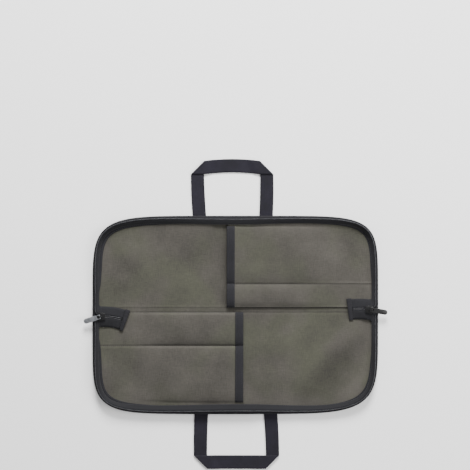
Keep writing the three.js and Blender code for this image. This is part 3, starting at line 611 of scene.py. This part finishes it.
def make_mouth_tapes(tape):
    for name, pocket in POCKETS.items():
        x, y, under = mouth_line(pocket, 44)
        high, low = under + CANVAS + TAPE_LAYER, under - TAPE_LAYER
        front = -TAPE_LAYER
        wave = 0.15 * np.sin(y / 3.7)
        outline = []
        for inward, z in (
            (MOUTH_TAPE, low), (front + 0.9, low), (front + 0.2, low + 0.35), (front, low + 1.1),
            (front, high - 1.1), (front + 0.2, high - 0.3), (front + 0.9, high),
            (MOUTH_TAPE / 2, high + wave), (MOUTH_TAPE - 0.8, high), (MOUTH_TAPE - 0.1, high - 0.3),
            (MOUTH_TAPE, high - TAPE), (-GAP, high - TAPE), (-GAP, low + TAPE), (MOUTH_TAPE, low + TAPE),
        ):
            outline.append(xyz(x + pocket["side"] * inward, y, z))
        made = loft(np.stack(outline, axis=1))
        add_mesh("mouth_tape_" + name, *made, tape, ["pocket_edge_" + name], "tape")


# The zip

CURVE_STEPS, TAPE_STEP = 8, 2.0
# The zip tape's half thickness, from beside the coil to the sewn edge
TAPE_HALVES = (0.45, 0.5, 0.42, 0.4, 0.4, 0.42, 0.3)
COIL_PITCH, COIL_STEPS, COIL_STRAND = 1.7, 10, 0.42
TAB_STEPS, TAB_FRAY, TAB_PUFF, TAB_SQUEEZE = 41, 0.25, 0.18, 0.12
BEVEL_STEPS, BEVEL_ANGLE = 3, 28


def zip_lines(half, step):
    """Lines along the coil, the tape's middle and its edge, with the way along and square to the tape."""
    fine = through(zip_stations(half), CURVE_STEPS)
    coil, middle, edge = evenly(fine[:, 0], step, fine[:, 1], fine[:, 2])
    along = unit(np.gradient(coil, axis=0))
    normal = unit(np.cross(along, edge - coil))
    normal *= np.where(normal[:, 2:] < 0, -1, 1)
    return coil, middle, edge, along, normal


def make_zip_tape(name, half, tape):
    coil, middle, edge, _, normal = zip_lines(half, TAPE_STEP)
    start = coil + unit(middle - coil) * (COIL_WIDTH / 2 - 0.2)
    bulge = 2 * middle - (start + edge) / 2
    shares = np.linspace(0, 1, len(TAPE_HALVES))
    across = [(1 - s) ** 2 * start + 2 * s * (1 - s) * bulge + s * s * edge for s in shares]
    below = [line - normal * lift for line, lift in zip(across, TAPE_HALVES)]
    above = [line + normal * lift for line, lift in zip(across, TAPE_HALVES)]
    sections = np.stack(below + above[::-1], axis=1)
    add_mesh("zip_cloth_" + name, *loft(sections), tape, ["zip_tape_" + name], "tape")


def tube(path, across_a, across_b, radius, sides):
    """Sections of a thin round tube along a path, with two directions across it."""
    turns = np.arange(sides) * 2 * math.pi / sides
    ring = [across_a * math.cos(t) * radius + across_b * math.sin(t) * radius for t in turns]
    return np.stack([path + offset for offset in ring], axis=1)


def make_zip_teeth(name, half, nylon):
    """The coil: one strand wound in close turns round a cord, along the tape's edge."""
    coil, _, _, along, normal = zip_lines(half, COIL_PITCH / COIL_STEPS)
    trim = int((TAB_LENGTH - TAB_OVERHANG + 1) / COIL_PITCH * COIL_STEPS)
    coil, along, normal = (line[trim:-trim] for line in (coil, along, normal))
    side = unit(np.cross(normal, along))
    turn = np.arange(len(coil))[:, None] * 2 * math.pi / COIL_STEPS
    reach = COIL_WIDTH / 2 - COIL_STRAND
    path = coil + side * np.cos(turn) * (reach + 0.12) + normal * np.sin(turn) * reach
    heading = unit(np.gradient(path, axis=0))
    out = unit(side * np.cos(turn) + normal * np.sin(turn))
    strand = loft(tube(path, out, np.cross(heading, out), COIL_STRAND, 4))
    cord = loft(tube(coil[::8], side[::8], normal[::8], reach - 0.2, 6))
    add_mesh("zip_teeth_" + name, *joined([strand, cord]), nylon, ["zip_coil_" + name], "zip_coil")


def make_end_tab(name, end, tape):
    inner, outer = TAPE / 2 + GAP, TAPE / 2 + GAP + TAPE
    spots = tail_station(end, 1, end["tail"])[:, 2]
    places = (0, TAPE_MIDDLE, ZIP_TAPE_WIDTH, ZIP_TAPE_WIDTH + TAB_MARGIN)
    sideways = np.linspace(-places[-1], places[-1], TAB_STEPS)
    heights = np.interp(np.abs(sideways), places, (*spots, spots[-1]))
    start, stop = tab_start(end), end["tail"] + TAB_OVERHANG
    sections = []
    for place, z in zip(sideways, heights):
        frayed = TAB_FRAY * math.sin(place * 1.9)
        low_end = max(0, abs(place) - ZIP_TAPE_WIDTH) / TAB_MARGIN
        puff = TAB_PUFF * math.sin(place * 0.55) ** 2
        outline = (
            (start + frayed, -outer), (stop - 0.8, -outer), (stop - 0.2, -outer + 0.5), (stop, 0),
            (stop - 0.2, outer - 0.4 + puff), (stop - 0.9, outer + puff),
            ((start + stop) / 2, outer - 0.15 + puff), (start + frayed, outer), (start + frayed, inner),
            (end["tail"] + GAP, inner), (end["tail"] + GAP, -inner), (start + frayed, -inner),
        )
        squeeze = 1 - TAB_SQUEEZE * low_end
        sections.append([[*tail_point(end, along, place), z + lift * squeeze] for along, lift in outline])
    add_mesh("tail_tab_" + name, *loft(sections), tape, ["zip_end_tab_" + name], "tape")


def rounded_copy(node, name, material, bevel, body):
    """A metal piece: its solid with the same faces and softened edges."""
    piece = put_in_scene(name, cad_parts[node].data.copy())
    shape = bmesh.new()
    shape.from_mesh(piece.data)
    bmesh.ops.remove_doubles(shape, verts=shape.verts, dist=1e-6)
    bmesh.ops.dissolve_limit(shape, angle_limit=0.01, verts=shape.verts, edges=shape.edges)
    shape.to_mesh(piece.data)
    shape.free()
    soften = piece.modifiers.new("soften", "BEVEL")
    soften.width, soften.segments, soften.limit_method = bevel * MM, BEVEL_STEPS, "ANGLE"
    soften.angle_limit = math.radians(BEVEL_ANGLE)
    soften.harden_normals = False
    evaluated = piece.evaluated_get(bpy.context.evaluated_depsgraph_get())
    smooth_mesh = bpy.data.meshes.new_from_object(evaluated)
    piece.modifiers.clear()
    piece.data = smooth_mesh
    smooth_mesh.shade_smooth()
    smooth_mesh.materials.clear()
    smooth_mesh.materials.append(material)
    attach(piece, body)
    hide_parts(node)


# Handles

WEBBING_WIDTH, WEBBING = 22.5, 1.5
WEBBING_LOW = 0.27
STRAP_OVERLAP = 45.0
HANDLE_REACH = 80.5
# Each leg by its place at the border and its lean up to the bar, from the left
HANDLES = {
    "upper": {"half": 1, "legs": ((-60.0, -3.0), (51.4, 1.0)), "bow": 3.2},
    "lower": {"half": -1, "legs": ((-56.8, -1.2), (59.0, 3.1)), "bow": 0.0},
}
# Share of a leg's length that lies under the case
STRAP_FIRST = 0.34
WEBBING_STEPS, WEBBING_RIB, WEBBING_RIB_PITCH = 14, 0.07, 3.2
# The webbing is thinner by this much at its edges, over this width
WEBBING_THIN, WEBBING_EDGE = 0.35, 1.2
LEG_BULGE, LEG_RISE, BAR_LOW, OVERLAP_GAP = 0.7, 0.2, 0.1, 0.22
# Where a bar comes down off its legs, in webbing widths from its end
BAR_FALL = (0.9, 1.7)


def strip(edges, heights, steps=60):
    """A flat strip of webbing, from its two edge points and its underside at each share of its length."""
    sections = []
    for share in np.linspace(0, 1, steps):
        a, b = (np.asarray(point, float) for point in edges(share))
        low = heights(share)
        below, above = [], []
        for s in np.linspace(0, 1, WEBBING_STEPS):
            x, y = lerp(a, b, s)
            edge = min(s, 1 - s) * WEBBING_WIDTH
            thin = WEBBING_THIN * max(0, 1 - edge / WEBBING_EDGE) ** 2
            rib = WEBBING_RIB * math.sin(s * WEBBING_WIDTH * 2 * math.pi / WEBBING_RIB_PITCH)
            below.append([x, y, low + thin])
            above.append([x, y, low + WEBBING - thin + rib])
        sections.append(below + above[::-1])
    return loft(sections)


def make_handle(name, webbing):
    spec = HANDLES[name]
    half, w = spec["half"], WEBBING_WIDTH / 2
    inner, border = half * (HALF_HEIGHT - STRAP_OVERLAP), half * HALF_HEIGHT
    near, far = (half * (HALF_HEIGHT + HANDLE_REACH + side) for side in (-w, w))

    def leg_edges(share, outer, bend, lean):
        if share <= STRAP_FIRST:
            y = lerp(inner, border, share / STRAP_FIRST)
            return (outer, y), (bend, y)
        gone = (share - STRAP_FIRST) / (1 - STRAP_FIRST)
        bulge = LEG_BULGE * math.copysign(math.sin(math.pi * gone), outer - bend)
        y = lerp(border, far, gone)
        leaning = min(1, (y - border) / (near - border))
        return (outer + lean * gone + bulge, lerp(border, near, gone)), (bend + lean * leaning + bulge, y)

    def leg_height(share):
        return WEBBING_LOW + LEG_RISE * math.sin(math.pi * max(0, share - 0.4) / 0.6)

    strips, tops = [], []
    for (leg, lean), inward in zip(spec["legs"], (1, -1)):
        outer, bend = leg - inward * w, leg + inward * w
        strips.append(strip(lambda share: leg_edges(share, outer, bend, lean), leg_height))
        tops += [outer + lean, bend + lean]
    t0, t1, t3, t2 = tops

    def bowed(x, y):
        share = float(ramp(t1, t2, x))
        return x, y + half * spec["bow"] * 4 * share * (1 - share)

    def bar_edges(share):
        return bowed(lerp(t0, t3, share), near), bowed(lerp(t1, t2, share), far)

    def bar_height(share):
        from_end = min(share, 1 - share) * (t3 - t0)
        over = 1 - smooth(float(ramp(*(WEBBING_WIDTH * share for share in BAR_FALL), from_end)))
        return BAR_LOW + (WEBBING + OVERLAP_GAP) * over

    strips.append(strip(bar_edges, bar_height, steps=90))
    add_mesh("webbing_" + name, *joined(strips), webbing, ["handle_" + name], "webbing")


# Stitches

STITCH_STEP, STITCH_LENGTH, STITCH_SIDES = 3.4, 2.5, 6
# Places along a stitch as shares of its length, with its girth there
STITCH_PROFILE = ((-0.5, 0.25), (-0.38, 0.85), (0, 1.0), (0.38, 0.85), (0.5, 0.25))
# How far thread lies above cloth and above tape
ON_CLOTH, ON_TAPE = 0.1, 0.08
# Rows of stitches: how far past a pocket's two seams, and where along the panel they start and end
PAST_SEAMS, ROW_START, ROW_END = (0.012, 0.006), 0.062, 11.0
EDGE_ROW, UNDER_ROW, MOUTH_ROWS = 1.7, 1.8, (0.8, MOUTH_TAPE - 1.6)
# The zip is sewn where its edge lies this near the outline, at a share of the way to its middle
SEWN_DEPTH, SEWN_SHARE = 18, 0.14
# The box that holds a strap: margin at the webbing's edges, its two ends, and the row at the border
BOX_MARGIN, BOX_START, BOX_END, BORDER_ROW = 2.2, 3, 22, 8


def stitch_run(line, radius=0.3, sink=0.12):
    """Separate stitches of thread along a line of points, lying on the surface."""
    (spots,) = evenly(np.asarray(line, float), STITCH_STEP)
    headings = unit(np.gradient(spots, axis=0))
    vertices, faces = [], []
    sides, rings = STITCH_SIDES, len(STITCH_PROFILE)
    for spot, heading in zip(spots[:-1], headings[:-1]):
        side = unit(np.cross([0, 0, 1], heading))
        up = np.cross(heading, side)
        start = len(vertices)
        for place, girth in STITCH_PROFILE:
            dip = sink * (abs(place) * 2) ** 2
            for k in range(sides):
                turn = k * 2 * math.pi / sides
                across = side * math.cos(turn) + up * math.sin(turn)
                vertices.append(spot + heading * place * STITCH_LENGTH + across * girth * radius - up * dip)
        faces += grid_faces(rings, sides, start=start, ring=True)
        faces.append([start + k for k in range(sides)][::-1])
        faces.append([start + (rings - 1) * sides + k for k in range(sides)])
    return np.array(vertices), faces


def add_stitches(name, lines, thread, slot, **how):
    add_mesh(name, *joined([stitch_run(line, **how) for line in lines]), thread, slot=slot)


def pocket_line(pocket, row):
    """A line along a pocket panel's row, on its top."""
    start = mouth_column(pocket) + pocket["side"] * ROW_START
    u = np.linspace(start, pocket["side"] * (1 - ROW_END / HALF_LENGTH), 120)
    x, y = sheet_point(u, row, POCKET_INSET)
    z = pocket_underside(pocket, x, y, u, np.full_like(u, row)) + CANVAS
    return xyz(x, y, z + ON_CLOTH)


def make_stitches(olive_thread, black_thread):
    u, v, _ = border_round(900)
    inner, low, _, inner_high = binding_edges(u, v)
    edge_line = xyz(*inset_point(u, v, inner - EDGE_ROW), inner_high + ON_TAPE)
    add_stitches("edge_stitches", [edge_line], black_thread, "tape")
    under_line = xyz(*inset_point(u, v, BINDING_OUTER - UNDER_ROW), low + 0.3)
    add_stitches("under_stitches", [under_line], black_thread, "tape", radius=0.28)
    lines, tape_lines = [], []
    for pocket in POCKETS.values():
        seams = pocket_seams(pocket)
        toward = np.sign(seams[1] - seams[0])
        lines += [pocket_line(pocket, seam + toward * past) for seam, past in zip(seams, PAST_SEAMS)]
        x, y, under = (values[:-1] for values in mouth_line(pocket, 60))
        z = under + CANVAS + TAPE_LAYER + ON_TAPE
        tape_lines += [xyz(x + pocket["side"] * inward, y, z) for inward in MOUTH_ROWS]
    add_stitches("pocket_stitches", lines, olive_thread, "canvas")
    add_stitches("mouth_stitches", tape_lines, black_thread, "tape")
    sewn = []
    for half in (1, -1):
        _, middle, edge, _, normal = zip_lines(half, TAPE_STEP)
        keep = depth_inside(edge[:, 0], edge[:, 1]) < SEWN_DEPTH
        spots = lerp(edge, middle, SEWN_SHARE) + normal * 0.5
        sewn.append(spots[keep])
    add_stitches("zip_stitches", sewn, black_thread, "tape")


def make_strap_stitches(thread):
    """A stitched box with a cross where each strap's end is sewn to the outside, and a line at the edge."""
    lines = []
    for spec in HANDLES.values():
        half, w = spec["half"], WEBBING_WIDTH / 2 - BOX_MARGIN
        y0, y1 = (half * (HALF_HEIGHT - STRAP_OVERLAP + place) for place in (BOX_START, BOX_END))
        y2 = half * (HALF_HEIGHT - BORDER_ROW)
        for leg, _ in spec["legs"]:
            corner = lambda sx, y: [leg + sx * w, y, WEBBING_LOW]
            box = [corner(-1, y0), corner(1, y0), corner(1, y1), corner(-1, y1), corner(-1, y0)]
            lines += [box, [corner(-1, y0), corner(1, y1)], [corner(1, y0), corner(-1, y1)]]
            lines.append([corner(-1, y2), corner(1, y2)])
    dense = [stepped(line, 12, line[-1:]) for line in lines]
    add_stitches("strap_stitches", dense, thread, "webbing", radius=0.26, sink=-0.1)


# Materials: node graphs written as small expressions over object coordinates in millimetres

class Graph:
    """Builds a material's nodes; values are sockets, numbers or tuples."""

    def __init__(self, name):
        self.material = bpy.data.materials.new(name)
        self.material.use_nodes = True
        self.nodes = self.material.node_tree.nodes
        self.links = self.material.node_tree.links
        self.nodes.clear()
        self.shader = self.node("BsdfPrincipled")
        self.node("OutputMaterial", {"Surface": self.shader.outputs[0]})
        place = self.node("TexCoord").outputs["Object"]
        self.place = self.node("VectorMath", {0: place, "Scale": 1 / MM}, operation="SCALE").outputs[0]
        self.x, self.y = self.node("SeparateXYZ", {0: self.place}).outputs[:2]

    def node(self, kind, values=(), **settings):
        """A new node, with the values of its inputs given by name or number."""
        made = self.nodes.new("ShaderNode" + kind)
        for name, setting in settings.items():
            setattr(made, name, setting)
        self.fill(made, values)
        return made

    def fill(self, node, values):
        for key, value in dict(values).items():
            if isinstance(value, bpy.types.NodeSocket):
                self.links.new(value, node.inputs[key])
            else:
                node.inputs[key].default_value = value

    def math(self, operation, *values, clamp=False):
        return self.node("Math", enumerate(values), operation=operation, use_clamp=clamp).outputs[0]

    def add(self, a, b):
        return self.math("ADD", a, b)

    def mul(self, a, b):
        return self.math("MULTIPLY", a, b)

    def wave(self, value, pitch):
        return self.math("SINE", self.mul(value, 2 * math.pi / pitch))

    def clip(self, value, middle):
        return self.math("ADD", value, middle, clamp=True)

    def noise(self, size, detail=3.0, scale=(1, 1, 1), turn=0.0, roughness=0.55):
        mapping = {"Vector": self.place, "Scale": scale, "Rotation": (0, 0, turn)}
        place = self.node("Mapping", mapping).outputs[0]
        values = {"Vector": place, "Scale": 1 / size, "Detail": detail, "Roughness": roughness}
        return self.node("TexNoise", values).outputs["Fac"]

    def sway(self, *size, **how):
        """Noise that goes as far below zero as above it."""
        return self.add(self.noise(*size, **how), -0.5)

    def mix(self, share, a, b):
        return self.node("Mix", {0: share, 6: a, 7: b}, data_type="RGBA").outputs[2]

    def between(self, tone, dark, light):
        """A colour from a tone, between two colours given as display values."""
        return self.mix(tone, linear(*dark), linear(*light))

    def band(self, low, high, value):
        """A smooth step of a value, from 0 below low to 1 above high."""
        values = {"Value": value, "From Min": low, "From Max": high}
        return self.node("MapRange", values, interpolation_type="SMOOTHSTEP").outputs[0]

    def bump(self, height, strength, distance):
        values = {"Height": height, "Strength": strength, "Distance": distance * MM}
        self.fill(self.shader, {"Normal": self.node("Bump", values).outputs[0]})

    def finish(self, colour, roughness, **more):
        self.fill(self.shader, {"Base Color": colour, "Roughness": roughness})
        self.fill(self.shader, {name.replace("_", " "): value for name, value in more.items()})
        return self.material

    def cloth(self, colour, roughness, sheen, sheen_roughness, specular):
        more = {"Sheen_Weight": sheen, "Sheen_Roughness": sheen_roughness}
        return self.finish(colour, roughness, Specular_IOR_Level=specular, **more)


# Pitches of the weaves and of the tape's ribs
CANVAS_PITCH, WEBBING_PITCH, TAPE_PITCH = 1.3, 1.9, 1.25
# Painted shade and painted highlight along a seam: distance from it, reach and weight
SEAM_SHADE_LINES = ((0.0, 1.1, -0.75), (2.6, 2.0, 0.32))


def linear(*srgb):
    """A linear colour from 0 to 255 display values."""
    share = [c / 255 for c in srgb]
    return tuple(c / 12.92 if c <= 0.04045 else ((c + 0.055) / 1.055) ** 2.4 for c in share) + (1.0,)


def threads(g, pitch):
    """The height of a plain weave: threads over and under each other, slightly uneven."""
    wander = g.mul(g.sway(9.0, 2.0), 1.2)
    return g.mul(g.wave(g.add(g.x, wander), pitch), g.wave(g.add(g.y, wander), pitch))


def painted_seam_shade(g, seams, strength):
    """Painted shade in the groove along each seam and a painted highlight beside it, for seams at heights on
    the sheet.
    """
    total = 0.0
    for y, side in seams:
        off = g.mul(g.add(g.y, -(y + float(SHIFT[1]))), side)
        wander = g.add(off, g.mul(g.sway(14.0, 2.0), 0.8))
        for centre, reach, weight in SEAM_SHADE_LINES:
            near = g.math("DIVIDE", g.add(wander, -centre), reach)
            peak = g.math("EXPONENT", g.mul(g.mul(near, near), -1.0))
            total = g.add(total, g.mul(peak, weight * strength))
    return total


def painted_fold_shade(g, fold_shades):
    """Painted shade and painted light: darker and paler stretches that lie along the sheet's folds."""
    total = 0.0
    for fx, fy, turn, length, width, strength in fold_shades:
        c, s = math.cos(math.radians(turn)), math.sin(math.radians(turn))
        dx = g.add(g.x, -(fx * HALF_LENGTH + float(SHIFT[0])))
        dy = g.add(g.y, -(fy * HALF_HEIGHT + float(SHIFT[1])))
        along = g.mul(g.add(g.mul(dx, c), g.mul(dy, s)), 1 / (length * HALF_HEIGHT))
        aside = g.mul(g.add(g.mul(dy, c), g.mul(dx, -s)), 1 / (width * HALF_HEIGHT))
        far = g.add(g.mul(along, along), g.mul(aside, aside))
        total = g.add(total, g.mul(g.math("EXPONENT", g.mul(far, -1.0)), strength))
    return total


def make_canvas(name, dark, light, tint, seams=(), seam_shade_strength=1.0, fold_shades=()):
    """Plain-woven canvas, with painted shade and painted highlights along the given seams and folds; tint is
    the greener colour that parts of it take.
    """
    g = Graph(name)
    weave = threads(g, CANVAS_PITCH)
    yarn = g.add(g.sway(0.6, 2.0, scale=(1, 0.07, 0.3)), g.sway(0.6, 2.0, scale=(0.07, 1, 0.3)))
    cloud = g.sway(70.0, 4.0)
    fleck = g.band(0.68, 0.8, g.noise(2.1, 3.0, roughness=0.7))
    tone = g.add(g.mul(yarn, 0.85), g.mul(cloud, 1.25))
    tone = g.add(g.add(tone, g.mul(weave, 0.18)), 0.5)
    # painted shade in the seams' grooves and painted highlights beside them
    tone = g.add(g.add(tone, g.mul(fleck, 0.18)), painted_seam_shade(g, seams, seam_shade_strength))
    # painted shade and painted light along the folds
    tone = g.clip(tone, painted_fold_shade(g, fold_shades))
    g.bump(g.add(g.mul(weave, 0.8), yarn), 0.5, 0.18)
    green = g.mul(g.band(0.42, 0.62, g.noise(95.0, 2.0)), 0.75)
    colour = g.mix(green, g.between(tone, dark, light), g.between(tone, dark, tint))
    return g.cloth(colour, 0.93, 0.05, 0.6, 0.25)


def make_tape(name, dark, light, pitch=TAPE_PITCH):
    g = Graph(name)
    ribs = g.wave(g.add(g.x, g.y), pitch)
    cross = g.wave(g.math("SUBTRACT", g.x, g.y), pitch * 1.9)
    fuzz, cloud = g.sway(0.7, 3.0), g.sway(26.0, 3.0)
    tone = g.clip(g.add(g.add(g.mul(ribs, 0.16), g.mul(fuzz, 1.1)), g.mul(cloud, 0.5)), 0.45)
    g.bump(g.add(g.add(ribs, g.mul(cross, 0.35)), g.mul(fuzz, 1.5)), 0.45, 0.14)
    return g.cloth(g.between(tone, dark, light), 0.82, 0.06, 0.5, 0.3)


def make_webbing(name, dark, light):
    g = Graph(name)
    weave = threads(g, WEBBING_PITCH)
    fuzz, cloud = g.sway(0.8, 3.0), g.sway(30.0, 2.0)
    tone = g.clip(g.add(g.add(g.mul(weave, 0.28), g.mul(fuzz, 1.7)), g.mul(cloud, 0.9)), 0.45)
    g.bump(g.add(weave, g.mul(fuzz, 1.2)), 0.6, 0.25)
    return g.cloth(g.between(tone, dark, light), 0.78, 0.04, 0.5, 0.25)


def make_thread(name, dark, light):
    g = Graph(name)
    tone = g.clip(g.mul(g.sway(1.4, 3.0), 2.2), 0.5)
    g.bump(g.noise(0.25, 2.0), 0.3, 0.1)
    return g.finish(g.between(tone, dark, light), 0.7)


def make_nylon(name, dark, light):
    g = Graph(name)
    tone = g.clip(g.mul(g.sway(7.0, 3.0), 1.8), 0.5)
    rough = g.add(g.mul(g.noise(3.0, 2.0), 0.2), 0.28)
    return g.finish(g.between(tone, dark, light), rough)


def make_enamel(name, dark, light):
    g = Graph(name)
    grain = g.noise(0.5, 3.0)
    worn = g.band(0.62, 0.75, g.noise(4.5, 5.0, roughness=0.65))
    rough = g.add(g.mul(grain, 0.18), 0.3)
    g.bump(grain, 0.12, 0.06)
    return g.finish(g.between(g.mul(worn, 0.5), dark, light), rough, Specular_IOR_Level=0.35)


def make_steel(name, dark, light):
    g = Graph(name)
    scratches = g.noise(0.35, 4.0, scale=(0.06, 1, 1), turn=0.35, roughness=0.7)
    marks = g.band(0.58, 0.7, g.noise(0.9, 4.0, scale=(0.1, 1, 1), turn=-0.9))
    cloud = g.noise(8.0, 3.0)
    tone = g.clip(g.mul(g.add(cloud, -0.5), 1.6), g.add(0.55, g.mul(marks, -0.45)))
    rough = g.add(g.add(g.mul(scratches, 0.3), g.mul(cloud, 0.14)), 0.2)
    g.bump(g.add(scratches, g.mul(marks, -0.5)), 0.3, 0.06)
    return g.finish(g.between(tone, dark, light), rough, Metallic=0.95)


canvas = make_canvas("olive_canvas", (48, 46, 42), (76, 73, 67), (72, 74, 60))
lining_seams = [(pocket["seam"], pocket["half"]) for pocket in POCKETS.values()]
# The inside's canvas carries painted shade and light along its seams and folds
inner_canvas = make_canvas("olive_canvas_inside", (47, 45, 41), (74, 71, 66), (70, 72, 59),
                           lining_seams, 0.55, PAINTED_FOLD_SHADES)
# The pockets' canvas carries painted shade and highlights along their seams
pocket_canvas = {
    name: make_canvas("olive_canvas_pocket_" + name, (48, 46, 42), (75, 72, 67), (71, 73, 60),
                      [(pocket["seam"], pocket["half"]), (pocket["divider"], pocket["half"])])
    for name, pocket in POCKETS.items()
}
tape = make_tape("black_tape", (8, 8, 11), (27, 26, 32))
zip_cloth = make_tape("black_zip_cloth", (7, 7, 10), (24, 24, 29), 0.9)
webbing = make_webbing("black_webbing", (7, 6, 11), (29, 26, 39))
olive_thread = make_thread("olive_thread", (62, 60, 54), (96, 93, 85))
black_thread = make_thread("black_thread", (14, 14, 17), (40, 40, 47))
nylon = make_nylon("black_nylon", (22, 22, 26), (52, 52, 57))
enamel = make_enamel("black_enamel", (7, 7, 8), (34, 34, 36))
steel = make_steel("satin_steel", (104, 106, 110), (168, 170, 174))

make_cloth_pieces(canvas, inner_canvas, pocket_canvas)
make_edge_binding(tape)
make_mouth_tapes(tape)
for name, half in (("upper", 1), ("lower", -1)):
    make_zip_tape(name, half, zip_cloth)
    make_zip_teeth(name, half, nylon)
    make_handle(name, webbing)
for name, end in ZIP_ENDS.items():
    make_end_tab(name, end, tape)
    rounded_copy("zip_slider_" + name, "slider_" + name, enamel, 0.25, ROOT)
rounded_copy("zip_pull_left", "pull_tab_left", steel, 0.22, "pull_left")
rounded_copy("zip_pull_right", "pull_tab_right", enamel, 0.22, "pull_right")
make_stitches(olive_thread, black_thread)
make_strap_stitches(black_thread)


# Studio, in metres

FLOOR_REACH, FLOOR_DROP = 6.0, 0.0005
SKY_STRENGTH = 0.66
# Lights: place, size and power, all aimed at the origin
LIGHTS = {
    "soft_key": ((0.1, 2.2, 1.45), 1.1, 160),
    "soft_fill": ((1.6, 0.1, 1.4), 1.2, 30),
}
# The camera's place in millimetres from the middle of the case, its height and its lens
CAMERA_PLACE, CAMERA_HEIGHT, CAMERA_LENS = (-0.5, 133.4), 2.947, 135

g = Graph("pale_floor")
white = g.mix(g.noise(400.0, 2.0), (0.96, 0.96, 0.96, 1), (0.98, 0.98, 0.98, 1))
mesh = bpy.data.meshes.new("floor")
corners = [(x * FLOOR_REACH, y * FLOOR_REACH, 0) for x, y in ((-1, -1), (1, -1), (1, 1), (-1, 1))]
mesh.from_pydata(corners, [], [(0, 1, 2, 3)])
mesh.materials.append(g.finish(white, 0.9))
floor = put_in_scene("floor", mesh)
floor.location.z = -FLOOR_DROP
floor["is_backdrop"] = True

world = bpy.data.worlds.new("studio")
world.use_nodes = True
sky = world.node_tree.nodes["Background"].inputs
sky["Color"].default_value = (1, 1, 1, 1)
sky["Strength"].default_value = SKY_STRENGTH
bpy.context.scene.world = world

for name, (place, size, power) in LIGHTS.items():
    light = bpy.data.lights.new(name, "AREA")
    light.shape, light.size, light.energy = "DISK", size, power
    lamp = put_in_scene(name, light)
    lamp.location = place
    lamp.rotation_euler = (-Vector(place)).to_track_quat("-Z", "Y").to_euler()
    lamp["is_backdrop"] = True

camera = bpy.data.cameras.new("photo_camera")
camera.lens, camera.sensor_width, camera.clip_end = CAMERA_LENS, 36, 100
viewer = put_in_scene("photo_camera", camera)
viewer.location = (*((SHIFT + CAMERA_PLACE) * MM), CAMERA_HEIGHT)
bpy.context.scene.camera = viewer

ALL_BOUNDS = [list(corner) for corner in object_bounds()]
